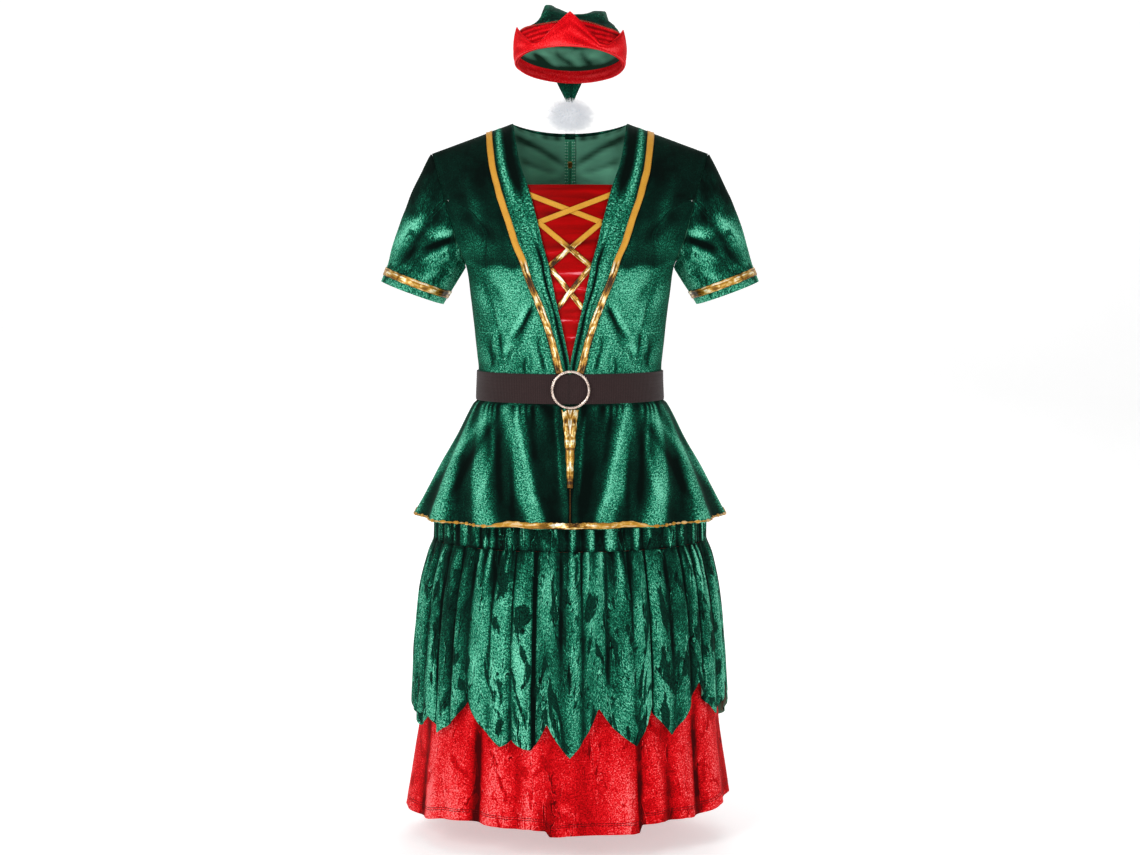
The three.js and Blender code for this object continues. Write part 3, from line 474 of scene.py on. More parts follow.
def studioFloor():
    s = Shader("studio_floor")
    spot = s.noise(s.objectPlace((3, 3, 3)), 1.0, 2, 0.5)
    s.set(
        Base_Color=s.ramp(spot, ((0.0, (0.8, 0.8, 0.8)), (1.0, (0.84, 0.84, 0.84)))),
        Roughness=0.9 - spot * 0.05,
        Specular_IOR_Level=0.1,
        Emission_Color=(1, 1, 1, 1),
        Emission_Strength=0.46,
    )
    width, bend, height = 6, 1.2, 5
    profile = [(-5.0, 0.0), (2.2, 0.0)]
    for i in range(1, 13):
        turn = math.pi / 2 * i / 12
        profile.append((2.2 + bend * math.sin(turn), bend * (1 - math.cos(turn))))
    profile.append((2.2 + bend, height))
    points, faces = [], []
    for y, z in profile:
        points += [(-width, y, view["floorHeight"] + z), (width, y, view["floorHeight"] + z)]
    for i in range(len(profile) - 1):
        faces.append((2 * i, 2 * i + 1, 2 * i + 3, 2 * i + 2))
    mesh = bpy.data.meshes.new("studio_floor")
    mesh.from_pydata(points, [], faces)
    mesh.polygons.foreach_set("use_smooth", [True] * len(mesh.polygons))
    mesh.materials.append(s.material)
    floor = bpy.data.objects.new("studio_floor", mesh)
    scene.collection.objects.link(floor)


studioFloor()
print("materials made")


# Shape maths in millimetres, on arrays.
def mix(a, b, t):
    return a + (b - a) * t


def clamp(value, low=0.0, high=1.0):
    return np.minimum(high, np.maximum(low, value))


def bell(value):
    return np.exp(-(value * value))


def soft(value, low, high):
    t = clamp((value - low) / (high - low))
    return t * t * (3 - 2 * t)


# A smooth line through sorted points that never overshoots.
class Line:
    def __init__(self, *points):
        points = sorted(points)
        self.keys = np.array([p[0] for p in points], float)
        self.values = np.array([p[1] for p in points], float)
        slope = np.diff(self.values) / np.diff(self.keys)
        self.bend = np.empty(len(points))
        self.bend[0], self.bend[-1] = slope[0], slope[-1]
        for j in range(1, len(points) - 1):
            a, b = slope[j - 1], slope[j]
            self.bend[j] = 2 * a * b / (a + b) if a * b > 0 else 0

    def __call__(self, at):
        at = np.asarray(at, float)
        i = np.clip(np.searchsorted(self.keys, at) - 1, 0, len(self.keys) - 2)
        width = self.keys[i + 1] - self.keys[i]
        t = clamp((at - self.keys[i]) / width)
        t2, t3 = t * t, t * t * t
        return (
            self.values[i] * (2 * t3 - 3 * t2 + 1)
            + self.bend[i] * width * (t3 - 2 * t2 + t)
            + self.values[i + 1] * (3 * t2 - 2 * t3)
            + self.bend[i + 1] * width * (t3 - t2)
        )


def table(names, *rows):
    return {name: Line(*[(row[0], row[i + 1]) for row in rows]) for i, name in enumerate(names)}


def point(x, y, z):
    x, y, z = np.broadcast_arrays(x, y, z)
    return np.stack([x, y, z], -1).astype(float)


def unit(v):
    return v / np.maximum(np.linalg.norm(v, axis=-1, keepdims=True), 1e-9)


def steps(low, high, count):
    return np.linspace(low, high, count + 1)


# Soft noise that is the same in each run: a sum of turned waves.
def ripple(x, y, seed, count=6):
    total = 0
    for i in range(count):
        turn = seed * 1.7 + i * 2.4
        scale = 1 + 0.37 * i
        along = x * math.cos(turn) + y * math.sin(turn)
        total = total + np.sin(along * scale + seed * 3.1 + i * 1.9) / scale
    return total / 2.2


def blur(values, reach, axis, round=False):
    if reach < 1:
        return values
    reach = min(reach, (values.shape[axis] - 1) // 2)
    mode = "wrap" if round else "edge"
    pad = [(0, 0)] * values.ndim
    pad[axis] = (reach, reach)
    wide = np.cumsum(np.pad(values, pad, mode=mode), axis)
    zero = np.zeros_like(np.take(wide, [0], axis))
    wide = np.concatenate([zero, wide], axis)
    span = 2 * reach + 1
    length = values.shape[axis]
    high = np.take(wide, range(span, span + length), axis)
    low = np.take(wide, range(0, length), axis)
    return (high - low) / span


def normals(grid, round, turned):
    if round:
        wide = np.concatenate([grid[-1:], grid, grid[:1]], 0)
        across = (wide[2:] - wide[:-2]) / 2
    else:
        across = np.gradient(grid, axis=0)
    along = np.gradient(grid, axis=1)
    n = unit(np.cross(across, along))
    return -n if turned else n


pieces = {}
skins = {}


# A closed thin shell on a surface. place(u, v) gives a grid of points, relief(grid, u, v) how
# far the cloth stands out from it, and shade(grid, u, v) is painted light and shade added to the attribute
# that the materials read.
def shell(name, place, us, vs, low, high, materials, round=False, turned=False, mirror=False,
          relief=None, shade=None, painted_light=0.5, hollowShade=0.05, tiltShade=0.6, reach=(6, 6), reliefLight=0.06,
          inside=None, across="", lined=None):
    us, vs = np.asarray(us, float), np.asarray(vs, float)
    u, v = np.meshgrid(us, vs, indexing="ij")
    grid = place(u, v)
    n = normals(grid, round, turned)
    stand = 0
    if relief is not None:
        stand = relief(grid, u, v)
        grid = grid + n * stand[..., None]
        n = normals(grid, round, turned)
    outer, inner = grid + n * high, grid + n * low
    # Painted light and shade: hollows of the relief are painted darker, cloth that faces up darker and
    # cloth that faces down brighter, and cloth that stands out brighter.
    dent = grid - blur(blur(grid, reach[0], 0, round), reach[1], 1)
    height = np.sum(dent * n, -1)
    toneAndLight = painted_light + clamp(height * hollowShade, -0.5, 0.35) - clamp(n[..., 2] * tiltShade, -0.25, 0.3)
    toneAndLight = toneAndLight + clamp(stand * reliefLight, -0.5, 0.35)
    if shade is not None:
        toneAndLight = toneAndLight + shade(grid, u, v)
    gap = np.linalg.norm(np.diff(grid, axis=0), axis=-1)
    wideAt = np.concatenate([np.zeros((1, len(vs))), np.cumsum(gap, 0)], 0)
    wideAt = wideAt - wideAt[len(us) // 2]
    if not across:  # an even map keeps the cloth's pattern upright where the piece flares
        wideAt = np.broadcast_to(wideAt.mean(1, keepdims=True), wideAt.shape)
    gap = np.linalg.norm(np.diff(grid, axis=1), axis=-1)
    longAt = np.concatenate([np.zeros((len(us), 1)), np.cumsum(gap, 1)], 1)
    if across:  # a ribbon: which way is across it, mapped to 10 mm
        side, run = (longAt, wideAt) if across == "v" else (wideAt, longAt)
        axis = 1 if across == "v" else 0
        least, most = side.min(axis, keepdims=True), side.max(axis, keepdims=True)
        wideAt, longAt = (side - least) / (most - least) * 10 - 5, run
    wide, tall = len(us), len(vs)
    sides = [outer, inner]
    if mirror:
        for side in sides:
            side[..., 0] *= -1
    way = n * np.array([-1, 1, 1]) if mirror else n
    skins[name] = (outer, inner, way)
    points = np.concatenate([side.reshape(-1, 3) for side in sides]) / 1000
    i, j = np.meshgrid(np.arange(wide if round else wide - 1), np.arange(tall - 1), indexing="ij")
    k = (i + 1) % wide
    a, b, c, d = (i * tall + j, k * tall + j, k * tall + j + 1, i * tall + j + 1)
    count = wide * tall
    front = np.stack([a, b, c, d], -1).reshape(-1, 4)
    back = np.stack([a, d, c, b], -1).reshape(-1, 4) + count
    rims = []
    for col in range(wide if round else wide - 1):
        nxt = (col + 1) % wide
        rims.append((nxt * tall, col * tall, col * tall + count, nxt * tall + count))
        p, q = col * tall + tall - 1, nxt * tall + tall - 1
        rims.append((p, q, q + count, p + count))
    if not round:
        last = (wide - 1) * tall
        for row in range(tall - 1):
            rims.append((row, row + 1, row + 1 + count, row + count))
            rims.append((last + row + 1, last + row, last + row + count, last + row + 1 + count))
    rims = np.array(rims)
    faces = np.concatenate([front, back, rims])
    if turned != mirror:
        faces = faces[:, ::-1]
    mesh = bpy.data.meshes.new(name)
    mesh.from_pydata(points.tolist(), [], faces.tolist())
    mesh.polygons.foreach_set("use_smooth", np.ones(len(faces), bool))
    kinds = np.zeros(len(faces), np.int32)
    under = np.full(len(back), min(1, len(materials) - 1), np.int32)
    if lined is not None:  # rows of the inner skin that show the outer cloth
        under[(vs[:-1][j.reshape(-1)] >= lined)] = 0
    kinds[len(front):len(front) + len(back)] = under
    mesh.polygons.foreach_set("material_index", kinds)
    for material in materials:
        mesh.materials.append(material)
    corner = np.empty(len(mesh.loops), np.int32)
    mesh.loops.foreach_get("vertex_index", corner)
    flat = corner % count
    layer = mesh.uv_layers.new(name="cloth")
    uv = np.stack([wideAt.reshape(-1)[flat], longAt.reshape(-1)[flat]], -1) / 1000
    layer.data.foreach_set("uv", uv.reshape(-1).astype(np.float32))
    attribute = mesh.attributes.new("painted_light", "FLOAT", "POINT")
    # The inner skin takes its painted light from inside(), with the hollows painted the other way.
    below = toneAndLight if inside is None else inside(grid, u, v) - height * hollowShade
    both = np.concatenate([toneAndLight.reshape(-1), below.reshape(-1)])
    attribute.data.foreach_set("value", both.astype(np.float32))
    mesh.update()
    piece = bpy.data.objects.new(name, mesh)
    scene.collection.objects.link(piece)
    pieces[name] = piece
    return piece


def declare(piece, body, slot, *nodes):
    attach(piece, body)
    if nodes:
        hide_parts(*nodes)


# Sizes of the cloth and of the figure that the cut follows.
cloth = {"thick": 1.6, "thin": 1.2, "ribbon": 1.0, "layer": 0.4, "seam": 0.3}
figure = table(
    ("halfWidth", "front", "back"),
    (40, 232, 90, 84),
    (-45, 215, 97, 90),
    (-100, 199, 107, 96),
    (-165, 174, 115, 97),
    (-204, 148, 116, 95),
    (-250, 142, 110, 92),
    (-300, 136, 103, 89),
    (-352, 131, 98, 88),
    (-396, 132.5, 99, 90),
)
shoulder = {"rise": 30, "slope": 0.367, "round": 110}


def shoulderHeight(x):
    return shoulder["rise"] - shoulder["slope"] * np.abs(x)


def roundOf(drop):
    r = shoulder["round"]
    near = np.arccos(clamp(1 - np.maximum(0, drop) / r, -1, 1))
    return np.where(drop < r, near, math.pi / 2 + (drop - r) / r)


def dropOf(bend):
    r = shoulder["round"]
    return np.where(bend < math.pi / 2, r * (1 - np.cos(bend)), r * (1 + bend - math.pi / 2))


def onFigure(turn, bend, side):
    turn, bend = np.broadcast_arrays(np.asarray(turn, float), np.asarray(bend, float))
    x = 100 * np.sin(turn)
    z = 0
    for _ in range(12):
        z = shoulderHeight(x) - dropOf(bend)
        x = figure["halfWidth"](z) * np.sin(turn)
    depth = figure["front" if side < 0 else "back"](z)
    rounding = np.where(bend < math.pi / 2, np.sin(bend), 1.0)
    return point(x, side * depth * np.cos(turn) * rounding, z)


def turnAt(x, z):
    return np.arcsin(clamp(x / figure["halfWidth"](z), -1, 1))


def bendAt(x, z):
    return np.maximum(0.003, roundOf(shoulderHeight(x) - z))


lineRows = (
    (0, 0.2, -372, 14, -372, 45, -372),
    (1, 0.2, -346, 21, -346, 46, -340),
    (2, 9.5, -294, 34, -294, 48, -300),
    (3, 18, -256, 48, -254, 50, -256),
    (4, 29, -203, 67, -203, 56, -204),
    (5, 44, -145, 87, -150, 64, -155),
    (6, 58, -93, 104, -99, 72, -105),
    (7, 72, -50, 114, -58, 79, -56),
    (8, 82, 0, 120, -14, 82, 0),
)
sideRows = (
    (0, 90, -372),
    (1, 90, -340),
    (2, 90, -300),
    (3, 90, -256),
    (4, 90, -204),
    (5, 71, -178),
    (6, 65, -134),
    (7, 64, -88),
    (8, 67, -42.5),
)
backMiddle = Line((0, -372), (4, -204), (6, -105), (8, -10))
zipHalfGap = 3


def edgeLines():
    out = {}
    for name, x, z in (("inner", 1, 2), ("outer", 3, 4), ("neck", 5, 6)):
        out[name] = (
            Line(*[(r[0], float(turnAt(r[x], r[z]))) for r in lineRows]),
            Line(*[(r[0], float(bendAt(r[x], r[z]))) for r in lineRows]),
        )
    turns, bends = [], []
    for row, turn, z in sideRows:
        halfWidth = float(figure["halfWidth"](z))
        sideTurn = math.radians(turn) - (0.15 / halfWidth if turn == 90 else 0)
        turns.append((row, sideTurn))
        bends.append((row, float(bendAt(halfWidth * math.sin(sideTurn), z))))
    out["side"] = (Line(*turns), Line(*bends))
    return out


edges = edgeLines()


def between(a, b, t, row, side):
    turn = mix(a[0], b[0], t)
    level = mix(onFigure(a[0], a[1], side)[..., 2], onFigure(b[0], b[1], side)[..., 2], t)
    x = figure["halfWidth"](level) * np.sin(turn)
    share = clamp((row - 5) / 2.5)
    return onFigure(turn, mix(bendAt(x, level), mix(a[1], b[1], t), share), side)


def edgeAt(name, row):
    return edges[name][0](row), edges[name][1](row)


def frontAt(c, row):
    c, row = np.broadcast_arrays(np.asarray(c, float), np.asarray(row, float))
    outer = edgeAt("outer", row)
    near = between(edgeAt("inner", row), outer, c, row, -1)
    far = between(outer, edgeAt("side", row), c - 1, row, -1)
    return np.where((c <= 1)[..., None], near, far)


def backAt(c, row):
    c, row = np.broadcast_arrays(np.asarray(c, float), np.asarray(row, float))
    neckEdge = edgeAt("neck", row)
    far = between(neckEdge, edgeAt("side", row), c - 1, row, 1)
    neck = onFigure(neckEdge[0], neckEdge[1], 1)
    x = mix(zipHalfGap, neck[..., 0], clamp(c))
    z = mix(backMiddle(row), neck[..., 2], clamp(c) ** 2.2)
    near = onFigure(turnAt(x, z), bendAt(x, z), 1)
    return np.where((c > 1)[..., None], far, near)


# Creases: each runs from one (x, z) to another, as seen from the front. A trough has a
# negative depth. Each fades at both ends and wavers a little along its length.
def creases(rows):
    def relief(grid, u, v):
        x, z = grid[..., 0], grid[..., 2]
        total = np.zeros_like(x)
        for i, (x0, z0, x1, z1, wide, deep) in enumerate(rows):
            dx, dz = x1 - x0, z1 - z0
            size = math.hypot(dx, dz)
            t = ((x - x0) * dx + (z - z0) * dz) / size**2
            off = ((x - x0) * dz - (z - z0) * dx) / size
            off = off + 1.4 * np.sin(t * 5 + i * 2.1)
            ends = soft(t, -0.15, 0.25) * (1 - soft(t, 0.7, 1.15))
            main = bell(off / wide)
            beside = bell((off - wide * 1.9) / (wide * 1.1)) + bell((off + wide * 1.9) / (wide * 1.1))
            total = total + deep * ends * (main - 0.3 * beside)
        return total

    return relief


print("shape tools ready")


# Bodice
bodice = {
    "bustTop": 6.5,
    "beltRow": 0.79,
    "seamShare": 0.004,
    "ribbonWide": 10.5,
    "collarFold": 2.2,
    # The front and back levels are the base of the panels' painted light and shade.
    "frontPaintedLight": 0.62,
    "backPaintedLight": 0.5,
    "wrinkle": 0.5,
}
bustSeam = Line((0, 0.45), (4, 0.41), (5, 0.3), (5.6, 0.38), (6.1, 0.6), (6.5, 0.88))
velvetPair = [greenVelvet, greenBack]
crushedPair = [greenCrushed, greenBack]


def fineRows(low, high, each=13):
    marks = [r for r in (0, 1, 2, 3, 4, 5, 6, 7, 8) if low < r < high]
    marks = [low, *marks, high]
    out = [low]
    for a, b in zip(marks[:-1], marks[1:]):
        count = max(2, round((b - a) * each))
        out += list(np.linspace(a, b, count + 1)[1:])
    return out


def centreFrontAt(c, row):
    share = bodice["seamShare"]
    edge = np.where(row > bodice["bustTop"], 1, bustSeam(np.minimum(row, 6.5)) - share)
    return frontAt(1 + share + c * (edge - share), row)


def sideFrontAt(c, row):
    edge = bustSeam(row) + bodice["seamShare"]
    return frontAt(1 + mix(edge, 1, c), row)


# Front creases as (x, z) from, (x, z) to, width and depth, on the wearer's one side.
frontCreases = (
    (50, -256, 76, -306, 5.5, -3.4),
    (58, -262, 92, -330, 5.0, 1.6),
    (70, -300, 98, -344, 3.6, -1.6),
    (38, -322, 33, -356, 2.6, -1.3),
    (46, -318, 44, -356, 2.4, 1.1),
    (54, -326, 56, -356, 2.6, -1.2),
    (84, -318, 92, -356, 3.4, -1.5),
    (98, -312, 101, -356, 3.0, 1.2),
    (108, -322, 110, -356, 3.0, -1.2),
    (120, -296, 104, -340, 5.0, -1.4),
    (122, -214, 96, -250, 8.0, -1.8),
    (130, -236, 92, -286, 9.0, 1.5),
    (150, -120, 108, -166, 9.0, -1.8),
    (146, -70, 128, -150, 9.0, 1.4),
)


def panelRelief(rows, side, fadeColumns=True, amount=1.0):
    base = creases(rows)

    def relief(grid, c, row):
        wander = ripple(grid[..., 0] / 17, grid[..., 2] / 24, side * 1.3 + 2) * bodice["wrinkle"]
        total = (base(grid, c, row) * amount + wander) * (1 - soft(row, 7.7, 8)) * soft(row, 0.8, 1.2)
        low, high = c.min(), c.max()
        share = (c - low) / (high - low)
        if fadeColumns:
            total = total * soft(share, 0, 0.08) * (1 - soft(share, 0.92, 1))
        dent = bell(share / 0.03) + bell((1 - share) / 0.03)
        return total - 0.5 * dent * (row < 6.4)

    return relief


# The chest above the bust is painted dark, with two small painted highlights; the cloth below it is painted
# bright where it catches the light, with painted shade towards the side and painted shade and highlights
# along its folds.
def bustShade(grid, c, row):
    x, z = grid[..., 0], grid[..., 2]
    edge = z - 4 * np.sin(x / 19) - 3 * np.sin(x / 7)
    upper = soft(edge, -205, -196)
    sheen = 0.12 * bell((z + 172) / 20) * bell((x - 76) / 16)
    sheen = sheen + 0.1 * bell((x - 132) / 12) * bell((z + 150) / 40)
    glow = bell((z + 240) / 34) * 0.12 * bell((x - 92) / 40)
    fade = 0.26 * soft(x, 100, 138)
    folds = 0.0
    for x0, z0, x1, z1, wide, deep in frontFoldShade:
        folds = folds + deep * stroke(x, z, x0, z0, x1, z1, wide)
    return glow - upper * 0.47 + sheen * upper + (folds - fade) * (1 - upper)


# A painted stroke from one (x, z) to another: 1 on the line, fading to its sides and ends.
def stroke(x, z, x0, z0, x1, z1, wide):
    dx, dz = x1 - x0, z1 - z0
    size = math.hypot(dx, dz)
    t = ((x - x0) * dx + (z - z0) * dz) / size**2
    off = ((x - x0) * dz - (z - z0) * dx) / size + 1.2 * np.sin(t * 5 + x0)
    return soft(t, -0.1, 0.15) * (1 - soft(t, 0.75, 1.1)) * bell(off / wide)


# Painted shade and highlight strokes that go with the folds at the waist: from, to, width, strength.
frontFoldShade = (
    (53, -258, 82, -312, 3.2, -0.5),
    (60, -256, 92, -318, 2.6, 0.22),
    (44, -300, 38, -352, 2.6, -0.3),
    (52, -310, 50, -352, 2.2, 0.2),
    (62, -330, 64, -354, 2.4, -0.34),
    (96, -296, 101, -350, 3.2, -0.34),
    (88, -310, 90, -352, 2.6, 0.16),
    (112, -300, 108, -350, 2.6, -0.3),
    (118, -232, 104, -290, 6.0, -0.24),
)


for side, mirror in (("left", True), ("right", False)):
    seed = 1 if mirror else 2
    front = shell(
        f"front_panel_{side}", centreFrontAt, steps(0, 1, 58), fineRows(0, 8, 12), 0, cloth["thick"],
        velvetPair, mirror=mirror, relief=panelRelief(frontCreases, seed), shade=bustShade,
        painted_light=bodice["frontPaintedLight"], tiltShade=0.35,
    )
    declare(front, "garment", "green_velvet", f"bodice_front_{side}")
    sidePanel = shell(
        f"side_panel_{side}", sideFrontAt, steps(0, 1, 36), fineRows(0, 6.48, 12), 0, cloth["thick"],
        velvetPair, mirror=mirror, relief=panelRelief(frontCreases, seed + 2), shade=bustShade,
        painted_light=bodice["frontPaintedLight"], tiltShade=0.35,
    )
    declare(sidePanel, "garment", "green_velvet", f"bodice_side_{side}")

# Creases of the back, and below them painted shade and highlight strokes for the folds of its inside that
# show over the insert
backCreases = (
    (8, -60, 62, -112, 9, -1.8),
    (6, -92, 74, -150, 10, 1.6),
    (16, -40, 80, -64, 7, 1.2),
    (10, -150, 90, -196, 10, -1.4),
    (30, -300, 34, -356, 4, -1.6),
    (52, -306, 58, -356, 4, 1.4),
    (74, -290, 84, -356, 5, -1.7),
    (108, -300, 100, -350, 5, -1.5),
    (124, -214, 84, -262, 9, -1.8),
    (128, -240, 70, -292, 9, 1.4),
    (150, -110, 96, -176, 10, -2.0),
    (140, -66, 120, -160, 9, 1.6),
)
insideFoldShade = (
    (84, -12, 2, -56, 5.0, -0.5),
    (66, -30, 4, -62, 4.0, 0.2),
    (74, -48, 20, -66, 4.5, -0.44),
    (64, -58, 12, -74, 4.5, 0.24),
    (50, -84, 8, -72, 4.0, -0.24),
    (60, -100, 6, -84, 5.0, 0.14),
    (92, -20, 84, -90, 7.0, -0.3),
)


# Painted light and shade for the inside of the back: a bright base with a painted highlight low down,
# painted shade near the neck and painted fold strokes; above the lining, the neck band's tone in painted
# stripes with a bright patch.
def insideBack(grid, c, row):
    x, z = grid[..., 0], grid[..., 2]
    tone = 0.7 + 0.12 * ripple(x / 18, z / 15, 2.2) * soft(-z, 10, 30)
    tone = tone + 0.18 * bell((z + 66) / 12) * bell((x - 50) / 30) - 0.12 * bell((z + 20) / 14)
    for x0, z0, x1, z1, wide, deep in insideFoldShade:
        tone = tone + deep * stroke(x, z, x0, z0, x1, z1, wide)
    band = 0.34 + 0.25 * np.sin(x / 4.3) * np.sin(x / 9) + 0.5 * bell((x - 84) / 12)
    return np.where(row > 7.82, band, tone)


for side, mirror in (("left", True), ("right", False)):
    back = shell(
        f"back_panel_{side}", backAt, steps(0, 2, 70), fineRows(0, 8, 12), 0, cloth["thick"],
        velvetPair, turned=True, mirror=mirror, relief=panelRelief(backCreases, 5 + mirror),
        painted_light=bodice["backPaintedLight"], tiltShade=0.9, inside=insideBack, lined=7.84,
    )
    declare(back, "garment", "green_velvet", f"bodice_back_{side}")
print("bodice made")


# Collar bands: a soft standing fold, with the ribbon on the outer edge.
def ribbonStart(row):
    wide = bodice["ribbonWide"]
    span = np.linalg.norm(frontAt(np.zeros_like(row), row) - frontAt(np.ones_like(row), row), axis=-1)
    return 1 - wide / np.maximum(wide * 1.25, span)


def collarAt(c, row):
    split = ribbonStart(row)
    t = np.where(c <= 1, c * split, mix(split, 1 - cloth["seam"] / 40, c - 1))
    p = frontAt(t, row)
    away = unit(point(p[..., 0] / 3, p[..., 1], 0))
    rise = np.where(c < 1, bodice["collarFold"] * np.sin(math.pi * np.minimum(c, 1)) ** 2, 0)
    fade = clamp(np.minimum(row - bodice["beltRow"], (8 - row) * 1.5))
    return p + away * (rise * fade)[..., None]


# Long folds down the band: their place across it, width, depth, and the rows they span.
collarFolds = (
    (0.36, 0.17, -1.5, 5.4, 8.3),
    (0.66, 0.10, 1.1, 5.6, 8.2),
    (0.12, 0.10, 0.9, 4.6, 7.8),
    (0.30, 0.13, -2.3, 2.2, 5.0),
    (0.62, 0.13, 1.5, 1.2, 4.6),
    (0.20, 0.09, 1.0, 2.6, 5.6),
    (0.80, 0.07, -0.9, 3.6, 6.4),
)


def collarRelief(seed):
    def relief(grid, c, row):
        total = np.zeros_like(c)
        for i, (at, wide, deep, low, high) in enumerate(collarFolds):
            lean = at + 0.03 * np.sin(row * 1.7 + i + seed)
            ends = soft(row, low, low + 0.7) * (1 - soft(row, high - 0.7, high))
            total = total + deep * ends * bell((c - lean) / wide)
        total = total * soft(row, 0.8, 1.4) * (1 - soft(row, 7.85, 8)) * (1 - soft(c, 0.9, 1.0))
        small = ripple(c * 7, row * 3.1, seed) * 0.25
        return total + small * soft(row, 0.9, 1.3) * (1 - soft(c, 0.85, 1.0)) * (1 - soft(row, 7.8, 8))

    return relief


# Painted light and shade on the collar band: a bright stripe and a dark stripe along its upper part, and
# lower down painted dark crease lines with a painted highlight beside them.
def collarShade(grid, c, row):
    upper = soft(row + 0.5 * c, 5.7, 6.5)
    stripe = bell((c - 0.68) / 0.14) * 0.3 - bell((c - 0.3) / 0.22) * 0.5 + bell((c - 0.03) / 0.05) * 0.1
    stripe = stripe - 0.2 * bell((c - 0.97) / 0.06) + 0.02 * c
    inward = mix(0.5, 0.3, soft(row, 1, 4.5)) + 0.03 * np.sin(row * 4)
    crease = bell((c - inward) / mix(0.16, 0.075, soft(row, 1, 4.5))) * (1 - soft(row, 4.1, 4.8))
    second = bell((c - inward - 0.26) / 0.05) * soft(row, 1.6, 2.4) * (1 - soft(row, 3.2, 3.9))
    lower = 0.06 - 0.66 * crease - 0.4 * second + 0.12 * bell((c - inward - 0.12) / 0.06)
    return upper * stripe + (1 - upper) * lower


# Painted reflection: the ribbon is painted as shining foil below the bust and as matte amber above it.
def foilShade(grid, u, v):
    return 1 - soft(grid[..., 2], -204, -192)


for side, mirror in (("left", True), ("right", False)):
    seed = 1.0 if mirror else 2.6
    columns = [*steps(0, 1, 30), *steps(1, 2, 6)[1:]]
    band = shell(
        f"collar_band_{side}", collarAt, columns, fineRows(0, 8, 14), 0, cloth["thick"] + 0.4,
        velvetPair, mirror=mirror, relief=collarRelief(seed), shade=collarShade, painted_light=0.5, tiltShade=0.4,
    )
    declare(band, "garment", "green_velvet", f"collar_{side}")
    base = cloth["thick"] + 0.4 + cloth["seam"]

    def ribbonRelief(grid, c, row):
        pull = ripple(row * 7, c * 3, seed + 4) * 0.35
        middle = bell((c - 1.5) / 0.3) * -0.25
        return (pull + middle) * soft(row, 0.8, 1.1)

    trim = shell(
        f"collar_trim_{side}", collarAt, steps(1, 2, 8), fineRows(0.79, 8, 22), base,
        base + cloth["ribbon"], [gold], mirror=mirror, relief=ribbonRelief, shade=foilShade,
        painted_light=0, hollowShade=0, tiltShade=0, across="u",
    )
    declare(trim, "garment", "gold_ribbon", f"collar_ribbon_{side}")
print("collar made")


# Satin insert with the lacing over it.
insert = {"tuck": 8, "low": -342, "high": -88, "lift": -(cloth["thick"] + 1.7), "wrinkle": 0.9}
rowSamples = steps(0, 8, 400)
innerSamples = frontAt(np.zeros_like(rowSamples), rowSamples)


def collarEdgeX(z):
    return np.interp(z, innerSamples[:, 2], innerSamples[:, 0])


def onFront(x, z):
    return onFigure(turnAt(np.abs(x), z) * np.sign(x), bendAt(x, z), -1)


def insertAt(c, z):
    return onFront(c * (collarEdgeX(z) + insert["tuck"]), z)


# Wrinkles across the satin: height, slope across, width and depth.
satinWrinkles = (
    (-99, 0.02, 4.0, 0.5),
    (-128, -0.05, 5.0, -0.7),
    (-139, 0.06, 4.0, 0.6),
    (-170, 0.08, 4.5, -0.9),
    (-179, 0.1, 3.6, 1.0),
    (-190, -0.04, 4.0, -0.7),
    (-211, 0.05, 3.4, 1.1),
    (-219, 0.02, 4.0, -1.0),
    (-233, -0.08, 3.2, 1.0),
    (-241, 0.02, 3.4, -0.8),
    (-256, 0.06, 3.0, 1.1),
    (-264, 0.04, 3.4, -0.9),
    (-279, -0.05, 3.0, 1.1),
    (-288, 0.0, 3.2, -0.9),
    (-300, 0.06, 2.8, 1.1),
    (-309, 0.02, 3.0, -0.8),
    (-320, 0.0, 3.0, 0.8),
)


def insertRelief(grid, c, z):
    total = np.zeros_like(c)
    x = grid[..., 0]
    for i, (at, slope, wide, deep) in enumerate(satinWrinkles):
        line = at + slope * x + 1.6 * np.sin(x / 13 + i * 1.7)
        part = 0.55 + 0.45 * np.sin(x / 17 + i * 2.3)
        total = total + deep * part * bell((z - line) / wide)
    return total * insert["wrinkle"] * (1 - soft(np.abs(c), 0.84, 0.97)) * (1 - soft(z, -94, -88))


# Painted light on the satin: brighter below the bust, where its wrinkles catch the light, and darker in a
# strip at the top edge.
def insertShade(grid, c, z):
    lower = 1 - soft(z, -205, -175)
    return lower * 0.12 - 0.02 - 0.16 * soft(z, -97, -95)


panel = shell(
    "insert_satin", insertAt, steps(-1, 1, 60), steps(insert["low"], insert["high"], 120),
    insert["lift"], insert["lift"] + cloth["thin"], [redSatin], relief=insertRelief,
    shade=insertShade, painted_light=0.46, hollowShade=0.4, tiltShade=0.4, reach=(4, 5),
)
declare(panel, "garment", "red_satin", "insert")

lace = {"wide": 7.5, "thick": 0.8, "base": insert["lift"] + cloth["thin"] + 0.6, "waver": 0.12}
laceTurns = ((-101, -5), (-141, 1), (-202, 0), (-261, -1))


# Makes one piece of several, and keeps the first one's place.
def joined(name, parts):
    for part in parts:
        pieces.pop(part.name, None)
    with bpy.context.temp_override(
        active_object=parts[0], selected_objects=parts, selected_editable_objects=parts
    ):
        bpy.ops.object.join()
    parts[0].name = name
    pieces[name] = parts[0]
    return parts[0]


